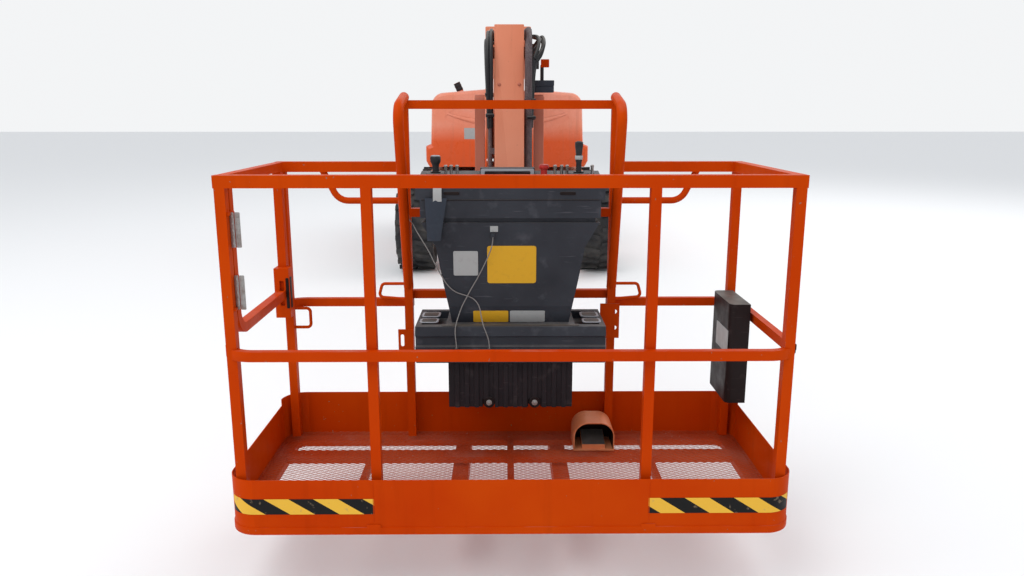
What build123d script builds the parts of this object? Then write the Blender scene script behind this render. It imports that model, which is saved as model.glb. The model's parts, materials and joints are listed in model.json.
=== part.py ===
"""Telescopic boom lift with jib, standing as it parks: boom down and in, platform low.

Millimetres, +Z up, origin on the ground under the middle of the machine's length.
The platform end is at -Y, the counterweight at +Y, and +X is the photograph's right.
"""

from collections import namedtuple
from math import atan2, cos, degrees, hypot, pi, radians, sin, tan
import os

from build123d import *

os.makedirs("parts", exist_ok=True)

# Fits between pieces.
RUN_GAP = 0.3
PIN_CLEARANCE = 0.05
MOVE_GAP = 5.0

# Overall layout.
REACH = 6930.0
TAIL_RADIUS = 2275.0
WHEELBASE = 2460.0
OVERALL_WIDTH = 2170.0
SLEW_Y = (REACH - TAIL_RADIUS) / 2
PLATFORM_Y = SLEW_Y - REACH
PLATFORM_Z = 235.0

# Wheels.
TYRE_RADIUS = 435.0
TYRE_WIDTH = 355.0
LUG_HEIGHT = 28.0
LUG_COUNT = 18
RIM_RADIUS = 254.0
RIM_WALL = 12.0
RIM_WIDTH = 300.0
DISC_THICKNESS = 14.0
DISC_OFFSET = 40.0
SPINDLE_RADIUS = 100.0
HUB_WALL = 25.0
WHEEL_X = OVERALL_WIDTH / 2 - TYRE_WIDTH / 2
AXLE_Z = TYRE_RADIUS

# Chassis.
FRAME_WIDTH = 860.0
FRAME_BOTTOM = 470.0
FRAME_TOP = 800.0
FRAME_WALL = 14.0
AXLE_DEPTH = 200.0
AXLE_HEIGHT = 200.0
HUB_INSET = 272.5
AXLE_REACH = WHEEL_X - HUB_INSET
PEDESTAL_RADIUS = 520.0
RING_OUTER = 500.0
RING_INNER = 400.0
RING_HEIGHT = 50.0
PEDESTAL_HEIGHT = 50.0
KINGPIN_X = WHEEL_X - HUB_INSET
KINGPIN_RADIUS = 30.0
KNUCKLE_RADIUS = 55.0
FORK_THICKNESS = 25.0
FORK_GAP = 115.0
ARM_LENGTH = 150.0
ARM_INSET = 30.0
ARM_PLATE = 25.0
TIE_BAR = 30.0
LUG_BORE = 25.0
LUG_PLATE = 25.0
LUG_REACH = 170.0
LUG_Z = 560.0
ARM_RELIEF = 140.0
HUB_LENGTH = 85.0
PLANET_RADIUS = 82.0
PLANET_LENGTH = 55.0
LUG_SPACING = 600.0

# Turntable.
DECK_Z = FRAME_TOP + PEDESTAL_HEIGHT + RING_HEIGHT
DECK_THICKNESS = 30.0
DECK_HALF_WIDTH = 850.0
DECK_FRONT = -720.0
DECK_REAR = 1480.0
UPRIGHT_GAP = 270.0
UPRIGHT_PLATE = 25.0
PIVOT_Y = SLEW_Y + 1250.0
PIVOT_Z = 2280.0
PIVOT_RADIUS = 45.0
UPRIGHT_HEAD = 130.0
UPRIGHT_START = 450.0
UPRIGHT_NOSE_Z = 1500.0
UPRIGHT_TAIL_Z = 1800.0
TAIL_PLATE_Z = 1700.0
ENGINE_BACK = 620.0
WEIGHT_BOTTOM = 960.0
WEIGHT_TOP = 1600.0
WEIGHT_ROUND = 60.0

# Hoods.
HOOD_INNER_X = 215.0
HOOD_FRONT = -730.0
HOOD_REAR = 1440.0
HOOD_BOTTOM = 1000.0
HOOD_LEDGE_Z = 1217.0
HOOD_LEDGE_X = 858.0
HOOD_DOME_X = 803.0
HOOD_TOP = 1800.0
HOOD_SLOPE = 45.0
HOOD_WALL = 8.0
HOOD_ROUND = 130.0
LEDGE_ROUND = 18.0
LEDGE_RISE = 20.0
HOOD_NOSE = 45.0
HOOD_DENT = 5.0
EXHAUST_RADIUS = 32.0
EXHAUST_X = -486.0
EXHAUST_BACK = -477.0
EXHAUST_FOOT = 1762.0
EXHAUST_LENGTH = 120.0
EXHAUST_LEAN = 25.0
DENT_INNER = 250.0
DENT_OUTER = 650.0
DENT_LOW = 1434.0
DENT_HIGH = 1618.0
HINGE_BARREL = 100.0
ENGINE_LENGTH = 980.0
ENGINE_WIDTH = 460.0
ENGINE_HEIGHT = 620.0
SHIELD_X = 203.0
SHIELD_PLATE = 6.0
HINGE_PIN = 8.0
HINGE_WALL = 8.0

# Boom.
STOW_DEG = 3.8
BOOM_REACH = 6600.0
BASE_LENGTH = 5700.0
BASE_WIDTH = 240.0
BASE_HEIGHT = 270.0
BASE_WALL = 8.0
BASE_TAIL = 150.0
COLLAR_LENGTH = 100.0
COLLAR_WALL = 12.0
FLY_WIDTH = 200.0
FLY_HEIGHT = 230.0
FLY_WALL = 8.0
FLY_NECK = 260.0
FLY_REAR = 500.0
TONGUE_HALF = 66.0
TONGUE_HEIGHT = 120.0
TIP_PIN = 25.0
CARRIER_WIDTH = 70.0
CARRIER_HEIGHT = 150.0
CARRIER_LENGTH = 3700.0
SLEEVE_RADIUS = 17.0
HOSE_RADIUS = 9.0

# Lift cylinder, as offsets from the boom pivot.
LIFT_BASE = (-300.0, -900.0)
LIFT_EYE_ALONG = -1500.0
LIFT_EYE_DROP = -330.0
LIFT_BARREL_RADIUS = 75.0
LIFT_ROD_RADIUS = 40.0
LIFT_PIN = 40.0
LIFT_EYE_RADIUS = 75.0
LIFT_BARREL_SHARE = 170.0
LIFT_CHEEK_GAP = 120.0
LIFT_CHEEK = 20.0

# Jib.
YOKE_FORWARD = 240.0
YOKE_DROP = 19.0
JIB_LENGTH = 1240.0
JIB_LEAN = 7.0
JIB_WIDTH = 130.0
JIB_DEPTH = 130.0
JIB_TOP = 110.0
JIB_TAIL = 70.0
JIB_WALL = 6.0
CHEEK_GAP = 148.0
CHEEK = 20.0
LINK_BACK = 40.0
LINK_DROP = 210.0
LINK_CENTRE = 134.0
LINK_WIDTH = 44.0
LINK_DEPTH = 60.0
LINK_END = 30.0
LINK_PIN = 20.0
JIB_CYL_OFFSET = 130.0
JIB_CYL_FOOT = 1000.0
JIB_CYL_EYE = 225.0
JIB_BARREL_RADIUS = 40.0
JIB_ROD_RADIUS = 20.0
JIB_BARREL_MOUTH = 285.0
JIB_CYL_PIN = 18.0
VALVE_WIDTH = 105.0
VALVE_DEPTH = 54.0
HOSE_TOP = 320.0
HOSE_END = 160.0

# Rotator and platform carrier.
ROTATOR_BACK = 230.0
ROTATOR_RADIUS = 90.0
ROTATOR_BOTTOM = 480.0
ROTATOR_TOP = 800.0
SHAFT_RADIUS = 35.0
CARRIER_DISC = 60.0
CARRIER_PLATE = 20.0
FORK_X = 190.0
BACK_PLATE_WIDTH = 440.0
BACK_PLATE = 16.0
FORK_TUBE = 60.0

# Platform, heights above its lower edge and depths from its front.
PLATFORM_W = 1830.0
PLATFORM_D = 760.0
CORNER_R = 90.0
SHEET = 3.0
LIP_HEIGHT = 25.0
LIP_PROUD = 3.0
RING_WIDTH = 60.0
TOE_FRONT = 188.0
TOE_REAR = 214.0
FLOOR_TOP = 45.0
FLOOR_SHEET = 6.0
MEMBER = 70.0
MEMBER_Y = 540.0
MEMBER_X = 533.0
SLOT_PITCH_X = 70.0
SLOT_PITCH_Y = 45.0
SLOT_LENGTH = 54.0
SLOT_WIDTH = 30.0
RAIL_INSET = 30.0
RAIL_TOP = 1148.0
RAIL = 38.0
MID_TOP = 612.0
MID_RAIL = 25.0
MID_ROUND = 110.0
POST = 32.0
POST_X = 866.0
MIDDLE_POST_X = 433.0
GUARD_X = 397.0
GUARD_TOP = 1392.0
GUARD_BAR_TOP = 1374.0
GUARD_LEAN = 180.0
CANE_FOOT = 660.0
CANE_BEND = 60.0
GRAB_BAR = 12.5
LOOP_BAR = 6.0
MOUNT_TUBE_Z = MID_TOP + POST
BACK_TUBE_Z = 971.0
GATE_AXIS_INSET = 37.0
GATE_START = 70.0
GATE_END = 672.0
GATE_BOTTOM = 640.0
GATE_ROUND = 80.0
HINGE_LOW = 788.0
HINGE_HIGH = 982.0
LATCH_LOW = 564.0
LATCH_HIGH = 755.0
LATCH_BOX = 60.0
GATE_PIN = 4.0
HINGE_HEIGHT = 105.0

# Console, tray, junction box and what stands on the floor.
CONSOLE_FRONT = 450.0
CONSOLE_TOP = 1075.0
CONSOLE_RISE = 40.0
LID_WIDTH = 665.0
LID_BOTTOM = 1030.0
BOX_WIDTH = 636.0
BOX_BOTTOM = 966.0
NECK_WIDTH = 600.0
TRAY_WIDTH = 690.0
TRAY_BOTTOM = 435.0
TRAY_TOP = 575.0
TRAY_FRONT = 430.0
JUNCTION_WIDTH = 460.0
JUNCTION_BOTTOM = 252.0
JUNCTION_FRONT = 480.0
RIB_PITCH = 36.0
SWITCH_X = 324.0
SWITCH_WIDTH = 158.0
SWITCH_HEIGHT = 114.0
SWITCH_FRONT = 548.0
SWITCH_DEPTH = 130.0
SWITCH_WALL = 4.0
CASE_WIDTH = 240.0
CASE_HEIGHT = 375.0
CASE_THICKNESS = 74.0
CASE_FRONT = 448.0
CASE_BOTTOM = 277.0
CASE_ROUND = 20.0
CASE_HOOK = 14.0
BRACKET_SHEET = 6.0
CORD_RADIUS = 2.0
CORD_CLIP = 12.0
Stop = namedtuple("Stop", "x y z")
CORD_A = (
    Stop(-384, 698, 930),
    Stop(-383, 676, 930),
    Stop(-368, 648, 922),
    Stop(-352, 608, 903),
    Stop(-334, 568, 885),
    Stop(-314, 530, 864),
    Stop(-293, 494, 840),
    Stop(-272, 464, 804),
    Stop(-250, 460, 762),
    Stop(-228, 465, 722),
    Stop(-199, 467, 695),
    Stop(-164, 470, 684),
    Stop(-131, 468, 671),
    Stop(-112, 460, 645),
    Stop(-106, 446, 613),
    Stop(-99, 430, 582),
    Stop(-86, 422, 552),
    Stop(-77, 420, 523),
    Stop(-76, 420, 497),
)
CORD_B = (
    Stop(-62, 444, 900),
    Stop(-63, 444, 875),
    Stop(-74, 449, 843),
    Stop(-88, 453, 809),
    Stop(-105, 456, 775),
    Stop(-122, 459, 742),
    Stop(-142, 460, 709),
    Stop(-159, 462, 676),
    Stop(-176, 463, 644),
    Stop(-188, 456, 611),
    Stop(-198, 439, 581),
    Stop(-200, 424, 552),
    Stop(-196, 420, 524),
    Stop(-195, 420, 498),
)

# Places that follow from the sizes.
deck_top = DECK_Z + DECK_THICKNESS
frame_half = WHEELBASE / 2 - AXLE_DEPTH / 2
drive_y = SLEW_Y - WHEELBASE / 2
steer_y = SLEW_Y + WHEELBASE / 2
stow = radians(STOW_DEG)
lean = radians(JIB_LEAN)
tip_y = PIVOT_Y - BOOM_REACH * cos(stow)
tip_z = PIVOT_Z - BOOM_REACH * sin(stow)
arm_y = tip_y - YOKE_FORWARD
arm_z = tip_z - YOKE_DROP
foot_y = arm_y - JIB_LENGTH * sin(lean)
foot_z = arm_z - JIB_LENGTH * cos(lean)
rotator_y = PLATFORM_Y + PLATFORM_D + ROTATOR_BACK
base_y = PIVOT_Y + LIFT_BASE[0]
base_z = PIVOT_Z + LIFT_BASE[1]
eye_y = PIVOT_Y + LIFT_EYE_ALONG * cos(stow) - LIFT_EYE_DROP * sin(stow)
eye_z = PIVOT_Z + LIFT_EYE_ALONG * sin(stow) + LIFT_EYE_DROP * cos(stow)
lift_length = hypot(base_y - eye_y, eye_z - base_z)
lift_tilt = atan2(eye_z - base_z, base_y - eye_y)

# The boom's own frame: local Y runs back along the boom, local Z is up across it.
BOOM = Plane(origin=(0, PIVOT_Y, PIVOT_Z), x_dir=(1, 0, 0), z_dir=(0, -sin(stow), cos(stow)))
# The jib's own frame: local Z runs up along the arm, local Y is behind it.
JIB = Plane(origin=(0, arm_y, arm_z), x_dir=(1, 0, 0), z_dir=(0, sin(lean), cos(lean)))
LINKS = Plane(
    origin=(0, arm_y + LINK_BACK, arm_z - LINK_DROP),
    x_dir=(1, 0, 0),
    z_dir=(0, sin(lean), cos(lean)),
)
# The lift cylinder's frame: local Z runs from its foot to the rod's eye.
LIFT = Plane(
    origin=(0, base_y, base_z),
    x_dir=(1, 0, 0),
    z_dir=(0, -cos(lift_tilt), sin(lift_tilt)),
)
PLATFORM = Plane(origin=(0, PLATFORM_Y, PLATFORM_Z), x_dir=(1, 0, 0), z_dir=(0, 0, 1))
ACROSS = (0, 90, 0)

print("lift cylinder closed length", round(lift_length, 1), "tilt", round(degrees(lift_tilt), 2))
print("tip", round(tip_y, 1), round(tip_z, 1), "arm", round(arm_y, 1), round(arm_z, 1))
lug_front_y = drive_y - AXLE_DEPTH / 2 - LUG_REACH + 2 * LUG_BORE
lug_rear_y = steer_y + AXLE_DEPTH / 2 + LUG_REACH - 2 * LUG_BORE
arm_top = AXLE_Z - SPINDLE_RADIUS + ARM_PLATE
print("lug bores", lug_front_y, lug_rear_y, LUG_Z)
print("foot", round(foot_y, 1), round(foot_z, 1), "slew", SLEW_Y, "rotator", rotator_y)

# Chassis frame: a box girder, open below, with a round pedestal for the slewing ring.
with BuildPart() as chassis_frame:
    with BuildSketch(Plane.XY.offset(FRAME_BOTTOM)):
        with Locations((0, SLEW_Y)):
            Rectangle(FRAME_WIDTH, 2 * frame_half)
    extrude(amount=FRAME_TOP - FRAME_BOTTOM)
    with BuildSketch(Plane.XY.offset(FRAME_BOTTOM)):
        with Locations((0, SLEW_Y)):
            Rectangle(FRAME_WIDTH - 2 * FRAME_WALL, 2 * (frame_half - FRAME_WALL))
    extrude(amount=FRAME_TOP - FRAME_BOTTOM - FRAME_WALL, mode=Mode.SUBTRACT)
    with BuildSketch(Plane.XY.offset(FRAME_TOP)):
        with Locations((0, SLEW_Y)):
            Circle(PEDESTAL_RADIUS)
            Rectangle(FRAME_WIDTH, 2 * PEDESTAL_RADIUS, mode=Mode.INTERSECT)
    extrude(amount=PEDESTAL_HEIGHT)
    with BuildSketch(Plane.XY.offset(FRAME_TOP)):
        with Locations((0, SLEW_Y)):
            Circle(PEDESTAL_RADIUS)
    extrude(amount=PEDESTAL_HEIGHT)
chassis_frame.part.label = "chassis_frame"
export_step(chassis_frame.part, "parts/chassis_frame.step")

# Slewing ring between the pedestal and the turntable's deck.
with BuildPart() as slew_ring:
    with BuildSketch(Plane.XY.offset(FRAME_TOP + PEDESTAL_HEIGHT)):
        with Locations((0, SLEW_Y)):
            Circle(RING_OUTER)
            Circle(RING_INNER, mode=Mode.SUBTRACT)
    extrude(amount=RING_HEIGHT - RUN_GAP)
slew_ring.part.label = "slew_ring"
export_step(slew_ring.part, "parts/slew_ring.step")

# Fixed drive axle at the platform's end, with its spindles and tie-down lugs.
with BuildPart() as drive_axle:
    with Locations((0, drive_y, AXLE_Z)):
        Box(2 * AXLE_REACH, AXLE_DEPTH, AXLE_HEIGHT)
    for side in (-1, 1):
        with BuildSketch(Plane.YZ.offset(side * AXLE_REACH)):
            with Locations((drive_y, AXLE_Z)):
                Circle(SPINDLE_RADIUS)
        extrude(amount=side * (WHEEL_X + DISC_OFFSET - DISC_THICKNESS / 2 - MOVE_GAP - AXLE_REACH))
        with BuildSketch(Plane.YZ.offset(side * AXLE_REACH)):
            with Locations((drive_y, AXLE_Z)):
                Circle(SPINDLE_RADIUS + 2 * HUB_WALL)
        extrude(amount=side * HUB_LENGTH)
    with BuildSketch(Plane.XY.offset(FRAME_BOTTOM)):
        with Locations((0, drive_y)):
            Rectangle(FRAME_WIDTH, AXLE_DEPTH)
    extrude(amount=FRAME_TOP - FRAME_BOTTOM)
    with BuildSketch(Plane.XY.offset(LUG_Z)):
        for side in (-1, 1):
            with Locations((side * LUG_SPACING / 2, drive_y - (AXLE_DEPTH + LUG_REACH) / 2 + 5)):
                RectangleRounded(4 * LUG_BORE, LUG_REACH + 10, LUG_BORE)
            with Locations((side * LUG_SPACING / 2, lug_front_y)):
                Circle(LUG_BORE, mode=Mode.SUBTRACT)
    extrude(amount=LUG_PLATE)
drive_axle.part.label = "drive_axle"
export_step(drive_axle.part, "parts/drive_axle.step")

# Steered axle: a beam with a fork and a kingpin at each end.
fork_z = FORK_GAP + FORK_THICKNESS
with BuildPart() as steer_axle:
    with Locations((0, steer_y, AXLE_Z)):
        Box(2 * (KINGPIN_X - KNUCKLE_RADIUS - 4 * MOVE_GAP), AXLE_DEPTH, 2 * fork_z)
    for side in (-1, 1):
        with BuildSketch(Plane.XY.offset(AXLE_Z - fork_z)):
            with Locations((side * (KINGPIN_X - KNUCKLE_RADIUS), steer_y)):
                Rectangle(2 * KNUCKLE_RADIUS, 2 * KNUCKLE_RADIUS)
            with Locations((side * KINGPIN_X, steer_y)):
                Circle(KNUCKLE_RADIUS)
        extrude(amount=FORK_THICKNESS)
        with BuildSketch(Plane.XY.offset(AXLE_Z + FORK_GAP)):
            with Locations((side * (KINGPIN_X - KNUCKLE_RADIUS), steer_y)):
                Rectangle(2 * KNUCKLE_RADIUS, 2 * KNUCKLE_RADIUS)
            with Locations((side * KINGPIN_X, steer_y)):
                Circle(KNUCKLE_RADIUS)
        extrude(amount=FORK_THICKNESS)
        with BuildSketch(Plane.XY.offset(AXLE_Z - fork_z)):
            with Locations((side * KINGPIN_X, steer_y)):
                Circle(KINGPIN_RADIUS)
        extrude(amount=2 * fork_z)
    with BuildSketch(Plane.XY.offset(FRAME_BOTTOM)):
        with Locations((0, steer_y)):
            Rectangle(FRAME_WIDTH, AXLE_DEPTH)
    extrude(amount=FRAME_TOP - FRAME_BOTTOM)
    with BuildSketch(Plane.XY.offset(LUG_Z)):
        for side in (-1, 1):
            with Locations((side * LUG_SPACING / 2, steer_y + (AXLE_DEPTH + LUG_REACH) / 2 - 5)):
                RectangleRounded(4 * LUG_BORE, LUG_REACH + 10, LUG_BORE)
            with Locations((side * LUG_SPACING / 2, lug_rear_y)):
                Circle(LUG_BORE, mode=Mode.SUBTRACT)
    extrude(amount=LUG_PLATE)
    relief_low = AXLE_Z - FORK_GAP + 1
    relief_high = arm_top + 1.5 * TIE_BAR
    for side in (-1, 1):
        with Locations(
            (
                side * (KINGPIN_X - KNUCKLE_RADIUS - ARM_RELIEF / 2),
                steer_y + AXLE_DEPTH / 2,
                (relief_low + relief_high) / 2,
            )
        ):
            Box(ARM_RELIEF, AXLE_DEPTH - 4 * MOVE_GAP, relief_high - relief_low, mode=Mode.SUBTRACT)
steer_axle.part.label = "steer_axle"
export_step(steer_axle.part, "parts/steer_axle.step")

# Steering knuckles: a barrel on the kingpin, the wheel's spindle and the steering arm.
tie_y = steer_y + ARM_LENGTH
for side, name in ((-1, "left"), (1, "right")):
    with BuildPart() as knuckle:
        with BuildSketch(Plane.XY.offset(AXLE_Z - FORK_GAP + RUN_GAP)):
            with Locations((side * KINGPIN_X, steer_y)):
                Circle(KNUCKLE_RADIUS)
        extrude(amount=2 * (FORK_GAP - RUN_GAP))
        with BuildSketch(Plane.YZ.offset(side * KINGPIN_X)):
            with Locations((steer_y, AXLE_Z)):
                Circle(SPINDLE_RADIUS)
        extrude(amount=side * (WHEEL_X + DISC_OFFSET - DISC_THICKNESS / 2 - MOVE_GAP - KINGPIN_X))
        with Locations((side * (KINGPIN_X - 100), steer_y, AXLE_Z)):
            Box(200, 3 * KNUCKLE_RADIUS, 2 * FORK_GAP, mode=Mode.SUBTRACT)
        with BuildSketch(Plane.XY.offset(AXLE_Z - FORK_GAP + RUN_GAP)):
            with Locations((side * KINGPIN_X, steer_y)):
                Circle(KNUCKLE_RADIUS)
        extrude(amount=2 * (FORK_GAP - RUN_GAP))
        with BuildSketch(Plane.XY.offset(arm_top - ARM_PLATE)):
            with Locations((side * KINGPIN_X, steer_y)):
                Circle(KNUCKLE_RADIUS - 15)
            with Locations((side * (KINGPIN_X - ARM_INSET), tie_y)):
                Circle(KNUCKLE_RADIUS - 25)
            make_hull()
        extrude(amount=ARM_PLATE)
        with BuildSketch(Plane.XY.offset(AXLE_Z - FORK_GAP)):
            with Locations((side * KINGPIN_X, steer_y)):
                Circle(KINGPIN_RADIUS + PIN_CLEARANCE)
        extrude(amount=2 * FORK_GAP, mode=Mode.SUBTRACT)
    knuckle.part.label = f"knuckle_{name}"
    export_step(knuckle.part, f"parts/knuckle_{name}.step")

# Tie rod across the steering arms.
with BuildPart() as tie_rod:
    with Locations((0, tie_y, arm_top + RUN_GAP + TIE_BAR / 2)):
        Box(2 * (KINGPIN_X - ARM_INSET), TIE_BAR, TIE_BAR)
    with BuildSketch(Plane.XY.offset(arm_top + RUN_GAP)):
        for side in (-1, 1):
            with Locations((side * (KINGPIN_X - ARM_INSET), tie_y)):
                Circle(TIE_BAR)
    extrude(amount=TIE_BAR)
tie_rod.part.label = "tie_rod"
export_step(tie_rod.part, "parts/tie_rod.step")

# Wheels: lugged tyre on a dished rim with a hub that runs on the spindle.
Wheel = namedtuple("Wheel", "name side y")
wheels = (
    Wheel("drive_left", -1, drive_y),
    Wheel("drive_right", 1, drive_y),
    Wheel("steer_left", -1, steer_y),
    Wheel("steer_right", 1, steer_y),
)
with BuildPart() as tyre:
    with BuildSketch(Plane.XY):
        with BuildLine():
            Polyline(
                (-RIM_WIDTH / 2, RIM_RADIUS),
                (-TYRE_WIDTH / 2, RIM_RADIUS + 55),
                (-TYRE_WIDTH / 2, TYRE_RADIUS - LUG_HEIGHT - 35),
                (-TYRE_WIDTH / 2 + 35, TYRE_RADIUS - LUG_HEIGHT),
                (TYRE_WIDTH / 2 - 35, TYRE_RADIUS - LUG_HEIGHT),
                (TYRE_WIDTH / 2, TYRE_RADIUS - LUG_HEIGHT - 35),
                (TYRE_WIDTH / 2, RIM_RADIUS + 55),
                (RIM_WIDTH / 2, RIM_RADIUS),
                close=True,
            )
        make_face()
    revolve(axis=Axis.X)
    lugs = []
    for flank in (-1, 1):
        with BuildSketch(Plane.XY.offset(TYRE_RADIUS - LUG_HEIGHT - 10)):
            with BuildLine():
                Polyline(
                    (flank * 8, -2),
                    (flank * 8, 38),
                    (flank * (TYRE_WIDTH / 2 - 6), 78),
                    (flank * (TYRE_WIDTH / 2 - 6), 30),
                    close=True,
                )
            make_face()
        lug = extrude(amount=LUG_HEIGHT + 6, mode=Mode.PRIVATE)
        turn = 180 / LUG_COUNT if flank > 0 else 0
        lugs += [lug.rotate(Axis.X, turn + 360 / LUG_COUNT * i) for i in range(LUG_COUNT)]
    add(lugs)
    with BuildSketch(Plane.YZ.offset(-TYRE_WIDTH)):
        Circle(TYRE_RADIUS + 3 * LUG_HEIGHT)
        Circle(TYRE_RADIUS, mode=Mode.SUBTRACT)
    extrude(amount=2 * TYRE_WIDTH, mode=Mode.SUBTRACT)

with BuildPart() as rim:
    with BuildSketch(Plane.YZ.offset(-RIM_WIDTH / 2)):
        Circle(RIM_RADIUS)
        Circle(RIM_RADIUS - RIM_WALL, mode=Mode.SUBTRACT)
    extrude(amount=RIM_WIDTH)
    with BuildSketch(Plane.YZ.offset(DISC_OFFSET - DISC_THICKNESS / 2)):
        Circle(RIM_RADIUS - RIM_WALL / 2)
    extrude(amount=DISC_THICKNESS)
    with BuildSketch(Plane.YZ.offset(DISC_OFFSET - DISC_THICKNESS / 2)):
        Circle(SPINDLE_RADIUS + HUB_WALL)
        Circle(SPINDLE_RADIUS + PIN_CLEARANCE, mode=Mode.SUBTRACT)
    extrude(amount=-70)
    with BuildSketch(Plane.YZ.offset(DISC_OFFSET + DISC_THICKNESS / 2)):
        Circle(SPINDLE_RADIUS + 10)
    extrude(amount=PLANET_LENGTH, taper=8)
    with BuildSketch(Plane.YZ.offset(DISC_OFFSET + DISC_THICKNESS / 2 + PLANET_LENGTH)):
        Circle(PLANET_RADIUS)
    extrude(amount=PLANET_LENGTH / 3, taper=12)
    with BuildSketch(Plane.YZ.offset(DISC_OFFSET + DISC_THICKNESS / 2)):
        with PolarLocations(SPINDLE_RADIUS + 45, 9):
            RegularPolygon(13, 6)
    extrude(amount=16)

for wheel in wheels:
    turned = 0 if wheel.side > 0 else 180
    place = Location((wheel.side * WHEEL_X, wheel.y, AXLE_Z), (0, 0, turned))
    one_tyre = tyre.part.moved(place)
    one_tyre.label = f"tyre_{wheel.name}"
    export_step(one_tyre, f"parts/tyre_{wheel.name}.step")
    one_rim = rim.part.moved(place)
    one_rim.label = f"rim_{wheel.name}"
    export_step(one_rim, f"parts/rim_{wheel.name}.step")

# Turntable: deck plate, the boom's two uprights, trench shields and the cylinder's foot.
shield_reach = HOOD_TOP - HINGE_PIN - HINGE_WALL
with BuildPart() as turntable_frame:
    with BuildSketch(Plane.XY.offset(DECK_Z)):
        with Locations((0, SLEW_Y + (DECK_FRONT + DECK_REAR) / 2)):
            RectangleRounded(2 * DECK_HALF_WIDTH, DECK_REAR - DECK_FRONT, 120)
        with Locations((0, SLEW_Y)):
            Circle(RING_INNER - 100, mode=Mode.SUBTRACT)
    extrude(amount=DECK_THICKNESS)
    for side in (-1, 1):
        near = side * UPRIGHT_GAP / 2
        with BuildSketch(Plane.YZ.offset(near)):
            with BuildLine():
                Polyline(
                    (SLEW_Y + UPRIGHT_START, DECK_Z),
                    (SLEW_Y + DECK_REAR, DECK_Z),
                    (SLEW_Y + DECK_REAR, UPRIGHT_TAIL_Z),
                    (PIVOT_Y + UPRIGHT_HEAD, PIVOT_Z),
                    (PIVOT_Y - UPRIGHT_HEAD, PIVOT_Z),
                    (SLEW_Y + UPRIGHT_START, UPRIGHT_NOSE_Z),
                    close=True,
                )
            make_face()
            with Locations((PIVOT_Y, PIVOT_Z)):
                Circle(UPRIGHT_HEAD)
        extrude(amount=side * UPRIGHT_PLATE)
        with BuildSketch(Plane.YZ.offset(side * SHIELD_X)):
            with Locations((SLEW_Y + (HOOD_FRONT + HOOD_REAR) / 2, (DECK_Z + shield_reach) / 2)):
                Rectangle(HOOD_REAR - HOOD_FRONT - 40, shield_reach - DECK_Z)
        extrude(amount=side * SHIELD_PLATE)
    with BuildSketch(Plane.YZ.offset(-UPRIGHT_GAP / 2 - UPRIGHT_PLATE)):
        with Locations((PIVOT_Y, PIVOT_Z)):
            Circle(PIVOT_RADIUS)
    extrude(amount=UPRIGHT_GAP + 2 * UPRIGHT_PLATE)
    with BuildSketch(Plane.YZ.offset(-UPRIGHT_GAP / 2)):
        with Locations((base_y, base_z)):
            Circle(LIFT_PIN)
    extrude(amount=UPRIGHT_GAP)
    with Locations((0, SLEW_Y + DECK_REAR - UPRIGHT_PLATE / 2, (DECK_Z + TAIL_PLATE_Z) / 2)):
        Box(UPRIGHT_GAP, UPRIGHT_PLATE, TAIL_PLATE_Z - DECK_Z)
turntable_frame.part.label = "turntable_frame"
export_step(turntable_frame.part, "parts/turntable_frame.step")

# Counterweight: its tail follows the swing radius.
with BuildPart() as counterweight:
    with BuildSketch(Plane.XY.offset(WEIGHT_BOTTOM)):
        with Locations((0, SLEW_Y)):
            Circle(TAIL_RADIUS)
        with Locations((0, SLEW_Y + DECK_REAR + TAIL_RADIUS / 2)):
            Rectangle(2 * DECK_HALF_WIDTH, TAIL_RADIUS, mode=Mode.INTERSECT)
    extrude(amount=WEIGHT_TOP - WEIGHT_BOTTOM)
    fillet(counterweight.edges().filter_by(Axis.Z).group_by(Axis.Y)[-1], radius=WEIGHT_ROUND)
    chamfer(counterweight.faces().sort_by(Axis.Z)[-1].edges().sort_by(Axis.Y)[-1], length=WEIGHT_ROUND / 2)
counterweight.part.label = "counterweight"
export_step(counterweight.part, "parts/counterweight.step")

# Engine, a plain block at its real place and size under the left-hand hood.
with BuildPart() as engine_block:
    with Locations((-(SHIELD_X + HOOD_LEDGE_X) / 2, SLEW_Y + ENGINE_BACK, deck_top + ENGINE_HEIGHT / 2)):
        Box(ENGINE_WIDTH, ENGINE_LENGTH, ENGINE_HEIGHT)
engine_block.part.label = "engine_block"
export_step(engine_block.part, "parts/engine_block.step")


NoseStep = namedtuple("NoseStep", "back grow")
nose_steps = (
    NoseStep(0.0, 0.7 * HOOD_NOSE),
    NoseStep(0.3 * HOOD_NOSE, 0.2 * HOOD_NOSE),
    NoseStep(HOOD_NOSE, 0.0),
)


def hood_profile(grow: float, floor: float) -> tuple:
    """Right-hand hood's front view, shrunk by grow all round, as corner points."""
    return (
        (HOOD_INNER_X, floor),
        (HOOD_LEDGE_X - 30 - grow, floor),
        (HOOD_LEDGE_X - grow, HOOD_BOTTOM + 60),
        (HOOD_LEDGE_X - grow, HOOD_LEDGE_Z - grow),
        (HOOD_DOME_X - grow, HOOD_LEDGE_Z + LEDGE_RISE - grow),
        (HOOD_DOME_X - 20 - grow, HOOD_TOP - HOOD_SLOPE - grow),
        (HOOD_INNER_X, HOOD_TOP - grow),
    )


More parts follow.
